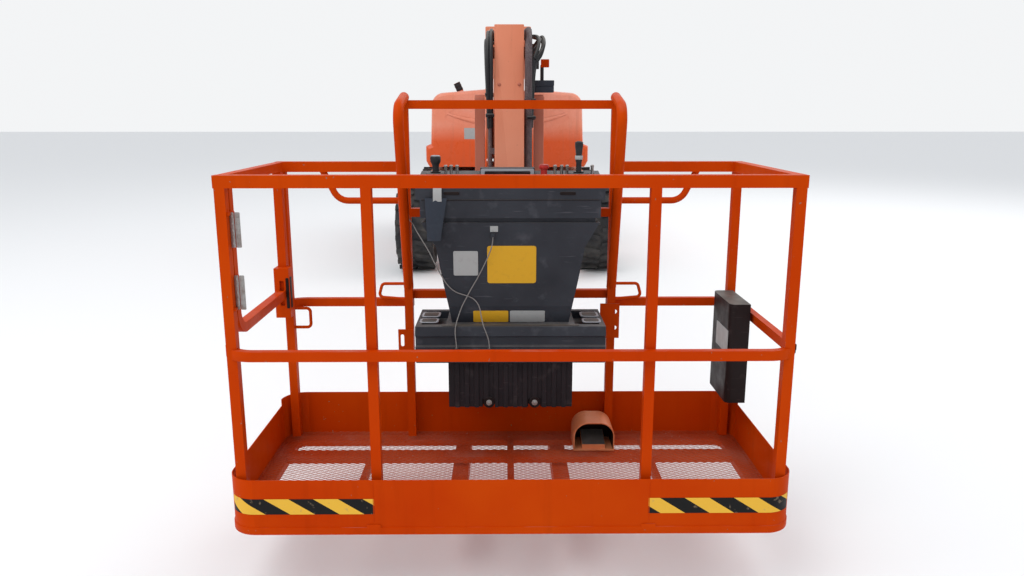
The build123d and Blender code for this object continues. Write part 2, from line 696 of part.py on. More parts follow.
def hood_block(side: int, wall: float, floor: float) -> Part:
    """Block inside a hood's outer faces, wall behind them, with its rounded nose."""
    start = SLEW_Y + HOOD_FRONT + wall
    length = HOOD_REAR - HOOD_FRONT - HOOD_NOSE - 2 * wall
    with BuildPart() as block:
        for step in nose_steps:
            with BuildSketch(Plane.XZ.offset(-start - step.back)) as outline:
                with BuildLine():
                    Polyline(*[(side * x, z) for x, z in hood_profile(wall + step.grow, floor)], close=True)
                make_face()
                fillet(outline.vertices().sort_by(Axis.Y)[-4], radius=LEDGE_ROUND)
                fillet(outline.vertices().sort_by(Axis.Y)[-2], radius=HOOD_ROUND - wall - step.grow)
        loft(ruled=True)
        with BuildSketch(Plane.XZ.offset(-start - HOOD_NOSE)) as outline:
            with BuildLine():
                Polyline(*[(side * x, z) for x, z in hood_profile(wall, floor)], close=True)
            make_face()
            fillet(outline.vertices().sort_by(Axis.Y)[-4], radius=LEDGE_ROUND)
            fillet(outline.vertices().sort_by(Axis.Y)[-2], radius=HOOD_ROUND - wall)
        extrude(amount=-length)
    return block.part


# Hoods: domed shells, open below and on the trench side, each on a hinge along its top.
hinge_z = HOOD_TOP
for side, name in ((-1, "left"), (1, "right")):
    full = hood_block(side, 0.0, HOOD_BOTTOM)
    hollow = hood_block(side, HOOD_WALL, HOOD_BOTTOM - 50)
    with BuildPart() as hood:
        add(full)
        add(hollow, mode=Mode.SUBTRACT)
        seam_z = (HOOD_BOTTOM + HOOD_TOP) / 2 - 40
        with Locations((side * HOOD_INNER_X, SLEW_Y + (HOOD_FRONT + HOOD_REAR) / 2, seam_z)):
            Box(30, HOOD_REAR - HOOD_FRONT - 2 * HOOD_WALL, HOOD_TOP - HOOD_BOTTOM + 20, mode=Mode.SUBTRACT)
        with BuildSketch(Plane.XZ.offset(-SLEW_Y - HOOD_FRONT)):
            with BuildLine():
                dent_mid = side * (DENT_INNER + DENT_OUTER) / 2
                dent_z = (DENT_LOW + DENT_HIGH) / 2 - 20
                ThreePointArc(
                    (side * DENT_INNER, dent_z),
                    (dent_mid, DENT_HIGH),
                    (side * DENT_OUTER, dent_z),
                )
                ThreePointArc((side * DENT_OUTER, dent_z), (dent_mid, DENT_LOW), (side * DENT_INNER, dent_z))
            make_face()
        extrude(amount=-HOOD_DENT, mode=Mode.SUBTRACT)
        for start in (-600, 400, 1200):
            with BuildSketch(Plane.XZ.offset(-SLEW_Y - start)):
                with Locations((side * HOOD_INNER_X, hinge_z)):
                    Circle(HINGE_PIN + HINGE_WALL)
                with Locations((side * (HOOD_INNER_X + HINGE_PIN + HINGE_WALL), hinge_z - HOOD_WALL / 2)):
                    Rectangle(2 * (HINGE_PIN + HINGE_WALL), HOOD_WALL)
            extrude(amount=-HINGE_BARREL)
        with BuildSketch(Plane.XZ.offset(-SLEW_Y - HOOD_FRONT + 10)):
            with Locations((side * HOOD_INNER_X, hinge_z)):
                Circle(HINGE_PIN + PIN_CLEARANCE)
        extrude(amount=-(HOOD_REAR - HOOD_FRONT + 20), mode=Mode.SUBTRACT)
        if side < 0:
            stub_foot = Location((EXHAUST_X, SLEW_Y + EXHAUST_BACK, EXHAUST_FOOT), (0, -EXHAUST_LEAN, 0))
            with Locations(stub_foot * Location((0, 0, EXHAUST_LENGTH / 2))):
                Cylinder(EXHAUST_RADIUS, EXHAUST_LENGTH)
            with Locations(stub_foot * Location((0, 0, EXHAUST_LENGTH))):
                Cylinder(EXHAUST_RADIUS - HOOD_DENT, EXHAUST_LENGTH, mode=Mode.SUBTRACT)
    hood.part.label = f"hood_{name}"
    export_step(hood.part, f"parts/hood_{name}.step")

# Hinge rods of the hoods, on posts that stand on the trench shields.
with BuildPart() as hood_hinges:
    for side in (-1, 1):
        with BuildSketch(Plane.XZ.offset(-SLEW_Y - HOOD_FRONT - 30)):
            with Locations((side * HOOD_INNER_X, hinge_z)):
                Circle(HINGE_PIN)
        extrude(amount=-(HOOD_REAR - HOOD_FRONT - 60))
        for start in (-690, 0, 900, 1360):
            with Locations((side * (SHIELD_X + SHIELD_PLATE / 2), SLEW_Y + start + 25, shield_reach + 12)):
                Box(SHIELD_PLATE, 50, 24)
            with Locations((side * (SHIELD_X + 8), SLEW_Y + start + 25, hinge_z)):
                Box(16, 50, 12)
hood_hinges.part.label = "hood_hinges"
export_step(hood_hinges.part, "parts/hood_hinges.step")

# Base boom section: box tube, collar at its mouth, pivot bore and the cylinder's cheeks.
with BuildPart(BOOM) as base_boom:
    with Locations((0, (BASE_TAIL - BASE_LENGTH) / 2, 0)):
        Box(BASE_WIDTH, BASE_LENGTH + BASE_TAIL, BASE_HEIGHT)
    with Locations((0, -BASE_LENGTH + COLLAR_LENGTH / 2, 0)):
        Box(BASE_WIDTH + 2 * COLLAR_WALL, COLLAR_LENGTH, BASE_HEIGHT + 2 * COLLAR_WALL)
    with Locations((0, -BASE_LENGTH / 2 + COLLAR_LENGTH / 2 - 100, 0)):
        Box(
            BASE_WIDTH - 2 * BASE_WALL,
            BASE_LENGTH - COLLAR_LENGTH - 200,
            BASE_HEIGHT - 2 * BASE_WALL,
            mode=Mode.SUBTRACT,
        )
    with Locations((0, -BASE_LENGTH + COLLAR_LENGTH / 2, 0)):
        Box(
            FLY_WIDTH + 2 * RUN_GAP,
            COLLAR_LENGTH + 20,
            FLY_HEIGHT + 2 * RUN_GAP,
            mode=Mode.SUBTRACT,
        )
    with Locations(Location((0, 0, 0), ACROSS)):
        Cylinder(PIVOT_RADIUS + PIN_CLEARANCE, UPRIGHT_GAP + 20, mode=Mode.SUBTRACT)
    cheek_x = LIFT_CHEEK_GAP / 2 + LIFT_CHEEK / 2
    cheek_depth = -LIFT_EYE_DROP - BASE_HEIGHT / 2 + LIFT_EYE_RADIUS
    with Locations(
        (-cheek_x, LIFT_EYE_ALONG, -BASE_HEIGHT / 2 - cheek_depth / 2),
        (cheek_x, LIFT_EYE_ALONG, -BASE_HEIGHT / 2 - cheek_depth / 2),
    ):
        Box(LIFT_CHEEK, 4 * LIFT_EYE_RADIUS, cheek_depth)
base_boom.part.label = "base_boom"
export_step(base_boom.part, "parts/base_boom.step")

# Hose carrier along the base section's left side.
with BuildPart(BOOM) as hose_carrier:
    with Locations((BASE_WIDTH / 2 + CARRIER_WIDTH / 2, -3600, -20)):
        Box(CARRIER_WIDTH, CARRIER_LENGTH, CARRIER_HEIGHT)
hose_carrier.part.label = "hose_carrier"
export_step(hose_carrier.part, "parts/hose_carrier.step")

# Fly section: slides in the collar, with slide pads at its tail and a tongue at its tip.
with BuildPart(BOOM) as fly_boom:
    fly_front = -BOOM_REACH + FLY_NECK
    with Locations((0, (fly_front - FLY_REAR) / 2, 0)):
        Box(FLY_WIDTH, -fly_front - FLY_REAR, FLY_HEIGHT)
    with Locations((0, (fly_front - FLY_REAR) / 2 + 10, 0)):
        Box(
            FLY_WIDTH - 2 * FLY_WALL,
            -fly_front - FLY_REAR,
            FLY_HEIGHT - 2 * FLY_WALL,
            mode=Mode.SUBTRACT,
        )
    with Locations((0, -FLY_REAR - COLLAR_LENGTH / 2, 0)):
        Box(
            BASE_WIDTH - 2 * BASE_WALL - 2 * RUN_GAP,
            COLLAR_LENGTH,
            BASE_HEIGHT - 2 * BASE_WALL - 2 * RUN_GAP,
        )
        Box(
            FLY_WIDTH - 2 * FLY_WALL,
            COLLAR_LENGTH + 10,
            FLY_HEIGHT - 2 * FLY_WALL,
            mode=Mode.SUBTRACT,
        )
    with Locations((0, -BOOM_REACH + FLY_NECK / 2 + 10, 0)):
        Box(2 * TONGUE_HALF, FLY_NECK + 20, TONGUE_HEIGHT)
    with Locations(Location((0, -BOOM_REACH, 0), ACROSS)):
        Cylinder(TONGUE_HEIGHT / 2, 2 * TONGUE_HALF)
        Cylinder(TIP_PIN + PIN_CLEARANCE, 3 * TONGUE_HALF, mode=Mode.SUBTRACT)
fly_boom.part.label = "fly_boom"
export_step(fly_boom.part, "parts/fly_boom.step")

# Lift cylinder barrel, on the pin between the uprights.
rod_tail = LIFT_BARREL_SHARE
with BuildPart(LIFT) as lift_cyl_barrel:
    with Locations(Location((0, 0, 0), ACROSS)):
        Cylinder(LIFT_EYE_RADIUS, 2 * LIFT_BARREL_RADIUS)
    barrel_top = lift_length - rod_tail
    with Locations((0, 0, barrel_top / 2 + 20)):
        Cylinder(LIFT_BARREL_RADIUS, barrel_top - 40)
    with Locations((0, 0, barrel_top / 2 + 100)):
        Cylinder(LIFT_ROD_RADIUS + PIN_CLEARANCE, barrel_top + 20, mode=Mode.SUBTRACT)
    with Locations(Location((0, 0, 0), ACROSS)):
        Cylinder(LIFT_PIN + PIN_CLEARANCE, 3 * LIFT_BARREL_RADIUS, mode=Mode.SUBTRACT)
lift_cyl_barrel.part.label = "lift_cyl_barrel"
export_step(lift_cyl_barrel.part, "parts/lift_cyl_barrel.step")

# Lift cylinder rod, with its eye and the stubs of its pin.
with BuildPart(LIFT) as lift_cyl_rod:
    with Locations((0, 0, (lift_length + 100) / 2)):
        Cylinder(LIFT_ROD_RADIUS, lift_length - 100)
    with Locations(Location((0, 0, lift_length), ACROSS)):
        Cylinder(LIFT_ROD_RADIUS + 10, LIFT_CHEEK_GAP - 30)
        Cylinder(22, LIFT_CHEEK_GAP - 4)
lift_cyl_rod.part.label = "lift_cyl_rod"
export_step(lift_cyl_rod.part, "parts/lift_cyl_rod.step")

# Jib yoke at the boom's tip: two cheeks, the hinge pins and the link stubs.
link_y = arm_y + LINK_BACK
link_z = arm_z - LINK_DROP
cyl_pin_y = arm_y - JIB_CYL_EYE * sin(lean) + JIB_CYL_OFFSET * cos(lean)
cyl_pin_z = arm_z - JIB_CYL_EYE * cos(lean) - JIB_CYL_OFFSET * sin(lean)
link_inner = LINK_CENTRE - LINK_WIDTH / 2
link_outer = LINK_CENTRE + LINK_WIDTH / 2
with BuildPart() as jib_yoke:
    for side in (-1, 1):
        with BuildSketch(Plane.YZ.offset(side * CHEEK_GAP / 2)):
            with Locations((tip_y, tip_z)):
                Circle(TONGUE_HEIGHT / 2)
            with Locations((arm_y, arm_z)):
                Circle(TONGUE_HEIGHT / 2 - 5)
            with Locations((link_y, link_z)):
                Circle(45)
            with Locations((cyl_pin_y, cyl_pin_z)):
                Circle(45)
            make_hull()
        extrude(amount=side * CHEEK)
        with BuildSketch(Plane.YZ.offset(side * (CHEEK_GAP / 2 + CHEEK))):
            with Locations((link_y, link_z)):
                Circle(LINK_PIN + 12)
        extrude(amount=side * (link_inner - RUN_GAP - CHEEK_GAP / 2 - CHEEK))
        with BuildSketch(Plane.YZ.offset(side * (CHEEK_GAP / 2 + CHEEK))):
            with Locations((link_y, link_z)):
                Circle(LINK_PIN)
        extrude(amount=side * (link_outer + 4 - CHEEK_GAP / 2 - CHEEK))
    with BuildSketch(Plane.YZ.offset(-CHEEK_GAP / 2 - CHEEK)):
        with Locations((tip_y, tip_z), (arm_y, arm_z)):
            Circle(TIP_PIN)
    extrude(amount=CHEEK_GAP + 2 * CHEEK)
    valve_x = CHEEK_GAP / 2 + CHEEK + VALVE_WIDTH / 2
    with Locations((valve_x, link_y + 15 + VALVE_DEPTH / 2, link_z + 39 + VALVE_DEPTH / 2)):
        Box(VALVE_WIDTH, VALVE_DEPTH, VALVE_DEPTH)
jib_yoke.part.label = "jib_yoke"
export_step(jib_yoke.part, "parts/jib_yoke.step")

# Jib arm: box tube with a bored boss at each end and the jib cylinder's foot behind.
with BuildPart(JIB) as jib_arm:
    with Locations((0, 0, (JIB_TOP - JIB_LENGTH - JIB_TAIL) / 2)):
        Box(JIB_WIDTH, JIB_DEPTH, JIB_TOP + JIB_LENGTH + JIB_TAIL)
    with Locations((0, 0, -JIB_LENGTH / 2)):
        Box(
            JIB_WIDTH - 2 * JIB_WALL,
            JIB_DEPTH - 2 * JIB_WALL,
            JIB_LENGTH - 160,
            mode=Mode.SUBTRACT,
        )
    with Locations(Location((0, 0, 0), ACROSS), Location((0, 0, -JIB_LENGTH), ACROSS)):
        Cylinder(TIP_PIN + PIN_CLEARANCE, 2 * JIB_WIDTH, mode=Mode.SUBTRACT)
    foot_plate_x = JIB_BARREL_RADIUS + RUN_GAP + 7
    with Locations(
        (-foot_plate_x, (JIB_DEPTH / 2 + JIB_CYL_OFFSET + 30) / 2, -JIB_CYL_FOOT),
        (foot_plate_x, (JIB_DEPTH / 2 + JIB_CYL_OFFSET + 30) / 2, -JIB_CYL_FOOT),
    ):
        Box(14, JIB_CYL_OFFSET + 30 - JIB_DEPTH / 2, 90)
    with Locations(Location((0, JIB_CYL_OFFSET, -JIB_CYL_FOOT), ACROSS)):
        Cylinder(JIB_CYL_PIN, 2 * foot_plate_x)
jib_arm.part.label = "jib_arm"
export_step(jib_arm.part, "parts/jib_arm.step")

# Jib cylinder barrel and rod, behind the arm and parallel with it.
with BuildPart(JIB) as jib_cyl_barrel:
    with Locations((0, JIB_CYL_OFFSET, -(JIB_CYL_FOOT + JIB_BARREL_MOUTH) / 2)):
        Cylinder(JIB_BARREL_RADIUS, JIB_CYL_FOOT - JIB_BARREL_MOUTH)
    with Locations(Location((0, JIB_CYL_OFFSET, -JIB_CYL_FOOT), ACROSS)):
        Cylinder(JIB_BARREL_RADIUS, 2 * JIB_BARREL_RADIUS)
        Cylinder(JIB_CYL_PIN + PIN_CLEARANCE, 4 * JIB_BARREL_RADIUS, mode=Mode.SUBTRACT)
    with Locations((0, JIB_CYL_OFFSET, -(JIB_CYL_FOOT - 45 + JIB_BARREL_MOUTH) / 2)):
        Cylinder(JIB_ROD_RADIUS + PIN_CLEARANCE, JIB_CYL_FOOT - 45 - JIB_BARREL_MOUTH, mode=Mode.SUBTRACT)
jib_cyl_barrel.part.label = "jib_cyl_barrel"
export_step(jib_cyl_barrel.part, "parts/jib_cyl_barrel.step")

with BuildPart(JIB) as jib_cyl_rod:
    rod_end = JIB_CYL_FOOT - 60
    with Locations((0, JIB_CYL_OFFSET, -(rod_end + JIB_CYL_EYE) / 2)):
        Cylinder(JIB_ROD_RADIUS, rod_end - JIB_CYL_EYE)
    with Locations(Location((0, JIB_CYL_OFFSET, -JIB_CYL_EYE), ACROSS)):
        Cylinder(32, 70)
        Cylinder(16, CHEEK_GAP - 16)
jib_cyl_rod.part.label = "jib_cyl_rod"
export_step(jib_cyl_rod.part, "parts/jib_cyl_rod.step")

# Levelling links: two bars beside the arm, one moving body.
with BuildPart(LINKS) as jib_links:
    for side in (-1, 1):
        with Locations((side * LINK_CENTRE, 0, -JIB_LENGTH / 2)):
            Box(LINK_WIDTH, LINK_DEPTH, JIB_LENGTH)
        with Locations(
            Location((side * LINK_CENTRE, 0, 0), ACROSS),
            Location((side * LINK_CENTRE, 0, -JIB_LENGTH), ACROSS),
        ):
            Cylinder(LINK_END, LINK_WIDTH)
            Cylinder(LINK_PIN + PIN_CLEARANCE, 2 * LINK_WIDTH, mode=Mode.SUBTRACT)
jib_links.part.label = "jib_links"
export_step(jib_links.part, "parts/jib_links.step")

# Hoses along the jib arm's sides: a sleeved bundle on the right and one hose on the left.
hose_length = JIB_LENGTH - HOSE_END - HOSE_TOP
hose_mid = -(JIB_LENGTH - HOSE_END + HOSE_TOP) / 2
hose_x = JIB_WIDTH / 2 + SLEEVE_RADIUS + 3
with BuildPart(JIB) as jib_hoses:
    for side, thickness in ((1, SLEEVE_RADIUS), (-1, HOSE_RADIUS)):
        with Locations((side * hose_x, -20, hose_mid)):
            Cylinder(thickness, hose_length)
        for share in (-0.35, 0.35):
            with Locations((side * (hose_x + JIB_WIDTH / 2) / 2, -20, hose_mid + share * hose_length)):
                Box(hose_x - JIB_WIDTH / 2, 2 * HOSE_RADIUS, 3 * HOSE_RADIUS)
jib_hoses.part.label = "jib_hoses"
export_step(jib_hoses.part, "parts/jib_hoses.step")

# Platform bracket at the jib's foot, with the rotator's housing.
foot_link_y = foot_y + LINK_BACK
foot_link_z = foot_z - LINK_DROP
with BuildPart() as platform_bracket:
    for side in (-1, 1):
        with BuildSketch(Plane.YZ.offset(side * CHEEK_GAP / 2)):
            with Locations((foot_y, foot_z)):
                Circle(55)
            with Locations((foot_link_y, foot_link_z)):
                Circle(45)
            with Locations((rotator_y, ROTATOR_BOTTOM + 135), (rotator_y, ROTATOR_TOP - 60)):
                Circle(50)
            make_hull()
        extrude(amount=side * CHEEK)
        with BuildSketch(Plane.YZ.offset(side * (CHEEK_GAP / 2 + CHEEK))):
            with Locations((foot_link_y, foot_link_z)):
                Circle(LINK_PIN + 12)
        extrude(amount=side * (link_inner - RUN_GAP - CHEEK_GAP / 2 - CHEEK))
        with BuildSketch(Plane.YZ.offset(side * (CHEEK_GAP / 2 + CHEEK))):
            with Locations((foot_link_y, foot_link_z)):
                Circle(LINK_PIN)
        extrude(amount=side * (link_outer + 4 - CHEEK_GAP / 2 - CHEEK))
    with BuildSketch(Plane.YZ.offset(-CHEEK_GAP / 2 - CHEEK)):
        with Locations((foot_y, foot_z)):
            Circle(TIP_PIN)
    extrude(amount=CHEEK_GAP + 2 * CHEEK)
    with BuildSketch(Plane.XY.offset(ROTATOR_BOTTOM)):
        with Locations((0, rotator_y)):
            Circle(ROTATOR_RADIUS)
    extrude(amount=ROTATOR_TOP - ROTATOR_BOTTOM)
    with BuildSketch(Plane.XY.offset(ROTATOR_BOTTOM)):
        with Locations((0, rotator_y)):
            Circle(SHAFT_RADIUS + PIN_CLEARANCE)
    extrude(amount=ROTATOR_TOP - ROTATOR_BOTTOM, mode=Mode.SUBTRACT)
platform_bracket.part.label = "platform_bracket"
export_step(platform_bracket.part, "parts/platform_bracket.step")

# Platform carrier: the rotator's shaft and plates, a cross tube, a back plate and two forks.
back_y = PLATFORM_Y + PLATFORM_D
plate_low = ROTATOR_BOTTOM - FORK_TUBE
plate_high = ROTATOR_TOP + FORK_TUBE
with BuildPart() as platform_carrier:
    with BuildSketch(Plane.XY.offset(ROTATOR_BOTTOM - RUN_GAP - CARRIER_PLATE)):
        with Locations((0, rotator_y)):
            Circle(SHAFT_RADIUS)
    extrude(amount=ROTATOR_TOP - ROTATOR_BOTTOM + 2 * (RUN_GAP + CARRIER_PLATE))
    for low in (ROTATOR_BOTTOM - RUN_GAP - CARRIER_PLATE, ROTATOR_TOP + RUN_GAP):
        with BuildSketch(Plane.XY.offset(low)):
            with Locations((0, rotator_y)):
                Circle(CARRIER_DISC)
            with Locations((0, (rotator_y + back_y + BACK_PLATE) / 2)):
                Rectangle(2 * CARRIER_DISC, rotator_y - back_y - BACK_PLATE)
        extrude(amount=CARRIER_PLATE)
    with Locations((0, back_y + BACK_PLATE / 2, (plate_low + plate_high) / 2)):
        Box(BACK_PLATE_WIDTH, BACK_PLATE, plate_high - plate_low)
    with Locations((0, back_y + (POST - 2 * RAIL_INSET) / 2, PLATFORM_Z + MOUNT_TUBE_Z - POST / 2)):
        Box(2 * GUARD_X + POST, POST, POST)
    for side in (-1, 1):
        with Locations((side * FORK_X, back_y + FORK_TUBE / 2, (PLATFORM_Z + plate_low) / 2)):
            Box(FORK_TUBE, FORK_TUBE, plate_low - PLATFORM_Z + 2 * FORK_TUBE)
        fork_y = PLATFORM_Y + (PLATFORM_D + 4 * FORK_TUBE) / 2
        with Locations((side * FORK_X, fork_y, PLATFORM_Z - FORK_TUBE / 2)):
            Box(FORK_TUBE, PLATFORM_D - 2 * FORK_TUBE, FORK_TUBE)
platform_carrier.part.label = "platform_carrier"
export_step(platform_carrier.part, "parts/platform_carrier.step")

# Toe boards: a ring below, a band round the platform that is higher behind, and floor members.
with BuildPart(PLATFORM) as toe_boards:
    with BuildSketch(PLATFORM):
        with Locations((0, PLATFORM_D / 2)):
            RectangleRounded(PLATFORM_W - 2 * LIP_PROUD, PLATFORM_D - 2 * LIP_PROUD, CORNER_R - LIP_PROUD)
            RectangleRounded(
                PLATFORM_W - 2 * LIP_PROUD - 2 * SHEET,
                PLATFORM_D - 2 * LIP_PROUD - 2 * SHEET,
                CORNER_R - LIP_PROUD - SHEET,
                mode=Mode.SUBTRACT,
            )
    extrude(amount=TOE_REAR)
    with Locations((0, (PLATFORM_D - CORNER_R) / 2 - 10, TOE_FRONT + 50)):
        Box(PLATFORM_W + 20, PLATFORM_D - CORNER_R + 20, 100, mode=Mode.SUBTRACT)
    with BuildSketch(PLATFORM):
        with Locations((0, PLATFORM_D / 2)):
            RectangleRounded(PLATFORM_W, PLATFORM_D, CORNER_R)
            RectangleRounded(
                PLATFORM_W - 2 * RING_WIDTH,
                PLATFORM_D - 2 * RING_WIDTH,
                CORNER_R - RING_WIDTH,
                mode=Mode.SUBTRACT,
            )
    extrude(amount=LIP_HEIGHT)
    member_z = FLOOR_TOP - FLOOR_SHEET - LIP_HEIGHT / 2
    with Locations((0, MEMBER_Y, member_z)):
        Box(PLATFORM_W - 2 * RING_WIDTH, MEMBER, LIP_HEIGHT)
    for x in (-MEMBER_X, 0, MEMBER_X):
        with Locations((x, PLATFORM_D / 2, member_z)):
            Box(LIP_HEIGHT, PLATFORM_D - 2 * RING_WIDTH, LIP_HEIGHT)
toe_boards.part.label = "toe_boards"
export_step(toe_boards.part, "parts/toe_boards.step")

# Floor sheet inside the toe boards, slotted all over.
floor_edge = LIP_PROUD + SHEET
slots_x = int((PLATFORM_W - 2 * RING_WIDTH) / SLOT_PITCH_X)
slots_y = int((PLATFORM_D - 2 * RING_WIDTH) / SLOT_PITCH_Y)
with BuildPart(PLATFORM) as platform_floor:
    with BuildSketch(PLATFORM.offset(FLOOR_TOP - FLOOR_SHEET)):
        with Locations((0, PLATFORM_D / 2)):
            RectangleRounded(PLATFORM_W - 2 * floor_edge, PLATFORM_D - 2 * floor_edge, CORNER_R - floor_edge)
            with GridLocations(SLOT_PITCH_X, SLOT_PITCH_Y, slots_x, slots_y):
                Rectangle(SLOT_LENGTH, SLOT_WIDTH, mode=Mode.SUBTRACT)
    extrude(amount=FLOOR_SHEET)
platform_floor.part.label = "platform_floor"
export_step(platform_floor.part, "parts/platform_floor.step")

# Rails: posts from the floor to the top rail, rails, and the console's guard hoop.
front_y = RAIL_INSET + POST / 2
rear_y = PLATFORM_D - RAIL_INSET - POST / 2
post_height = RAIL_TOP - FLOOR_TOP
ring_half = POST_X + POST / 2 + MID_RAIL
gate_axis_x = -POST_X + POST / 2 + 8
gate_axis_y = RAIL_INSET + GATE_AXIS_INSET
Tube = namedtuple("Tube", "plane points radius bend")
across = Plane(origin=(0, PLATFORM_Y + rear_y, PLATFORM_Z), x_dir=(1, 0, 0), z_dir=(0, -1, 0))
tubes = []
for side in (-1, 1):
    beside = Plane(origin=(side * GUARD_X, PLATFORM_Y, PLATFORM_Z), x_dir=(0, 1, 0), z_dir=(1, 0, 0))
    cane = ((rear_y, CANE_FOOT), (rear_y - GUARD_LEAN, GUARD_TOP - 47), (rear_y + POST / 2, GUARD_TOP - 7))
    tubes.append(Tube(beside, cane, RAIL / 2, CANE_BEND))
    guard_face = side * GUARD_X
    grab = ((guard_face, 1000), (side * 655, 1000), (side * 718, RAIL_TOP - RAIL / 2))
    tubes.append(Tube(across, grab, GRAB_BAR, CANE_BEND))
    loop = (
        (guard_face, 675),
        (guard_face + side * 103, 675),
        (guard_face + side * 118, 622),
        (guard_face, MID_TOP),
    )
    tubes.append(Tube(across, loop, LOOP_BAR, 2.5 * LOOP_BAR))
corner_loop = ((-POST_X, 577), (-POST_X + 79, 577), (-POST_X + 79, 500), (-POST_X, 500))
tubes.append(Tube(across, corner_loop, LOOP_BAR, 2.5 * LOOP_BAR))
with BuildPart(PLATFORM) as platform_rails:
    with Locations(
        (-POST_X, front_y, FLOOR_TOP + post_height / 2),
        (POST_X, front_y, FLOOR_TOP + post_height / 2),
        (-POST_X, rear_y, FLOOR_TOP + post_height / 2),
        (POST_X, rear_y, FLOOR_TOP + post_height / 2),
        (-MIDDLE_POST_X, front_y, FLOOR_TOP + post_height / 2),
        (MIDDLE_POST_X, front_y, FLOOR_TOP + post_height / 2),
    ):
        Box(POST, POST, post_height)
    with Locations((0, RAIL_INSET + RAIL / 2, RAIL_TOP - RAIL / 2)):
        Box(2 * POST_X + RAIL, RAIL, RAIL)
    rear_half = POST_X + RAIL / 2 - GUARD_X
    for side in (-1, 1):
        with Locations(
            (side * (GUARD_X + rear_half / 2), PLATFORM_D - RAIL_INSET - RAIL / 2, RAIL_TOP - RAIL / 2)
        ):
            Box(rear_half, RAIL, RAIL)
    with Locations((POST_X, PLATFORM_D / 2, RAIL_TOP - RAIL / 2)):
        Box(RAIL, PLATFORM_D - 2 * RAIL_INSET, RAIL)
    with BuildSketch(PLATFORM.offset(MID_TOP - POST)):
        with Locations((0, PLATFORM_D / 2)):
            RectangleRounded(2 * ring_half, PLATFORM_D - 2 * RAIL_INSET + 2 * MID_RAIL, MID_ROUND)
            RectangleRounded(
                2 * (ring_half - MID_RAIL),
                PLATFORM_D - 2 * RAIL_INSET,
                MID_ROUND - MID_RAIL,
                mode=Mode.SUBTRACT,
            )
        with Locations((-ring_half, (MID_ROUND + PLATFORM_D - 2.5 * RAIL_INSET) / 2)):
            Rectangle(4 * MID_RAIL, PLATFORM_D - 2.5 * RAIL_INSET - MID_ROUND, mode=Mode.SUBTRACT)
        with Locations((0, PLATFORM_D)):
            Rectangle(2 * GUARD_X - POST, 6 * MID_RAIL, mode=Mode.SUBTRACT)
    extrude(amount=POST)
    guard_height = GUARD_TOP - 7 - FLOOR_TOP
    with Locations(
        (-GUARD_X, rear_y, FLOOR_TOP + guard_height / 2),
        (GUARD_X, rear_y, FLOOR_TOP + guard_height / 2),
    ):
        Box(POST, POST, guard_height)
    with Locations((0, rear_y, GUARD_BAR_TOP - POST / 2), (0, rear_y, BACK_TUBE_Z - POST / 2)):
        Box(2 * GUARD_X, POST, POST)
    for tube in tubes:
        with BuildLine(tube.plane) as path:
            FilletPolyline(*tube.points, radius=tube.bend)
        route = path.wires()[0]
        with BuildSketch(Plane(origin=route @ 0, z_dir=route % 0)):
            Circle(tube.radius)
        sweep(path=route)
    cane_plane = Plane(
        origin=(0, PLATFORM_Y + rear_y - POST / 2, PLATFORM_Z),
        x_dir=(1, 0, 0),
        z_dir=(0, -1, 0),
    )
    with BuildSketch(cane_plane):
        with Locations((GUARD_X - 6, 528)):
            Rectangle(76, 139)
        with Locations((GUARD_X + 14, 565), (GUARD_X + 14, 500)):
            Circle(9, mode=Mode.SUBTRACT)
        with Locations((-GUARD_X - 14, 450)):
            Rectangle(60, 89)
        with Locations((-GUARD_X - 28, 450)):
            SlotOverall(50, 14, rotation=90, mode=Mode.SUBTRACT)
    extrude(amount=BRACKET_SHEET)
    with Locations((-POST_X, RAIL_INSET + 18, RAIL_TOP - RAIL / 2)):
        Box(RAIL, 36, RAIL)
    for pin_z, end in ((HINGE_LOW, -1), (HINGE_HIGH, 1)):
        with Locations((gate_axis_x, gate_axis_y, pin_z)):
            Cylinder(GATE_PIN, HINGE_HEIGHT + 5)
        with Locations((gate_axis_x - 5.5, RAIL_INSET + 22, pin_z + end * (HINGE_HEIGHT / 2 - 2))):
            Box(5, 30, 10)
        with Locations((gate_axis_x - 0.5, gate_axis_y - 1.5, pin_z + end * (HINGE_HEIGHT / 2 - 2))):
            Box(9, 11, 10)
platform_rails.part.label = "platform_rails"
export_step(platform_rails.part, "parts/platform_rails.step")

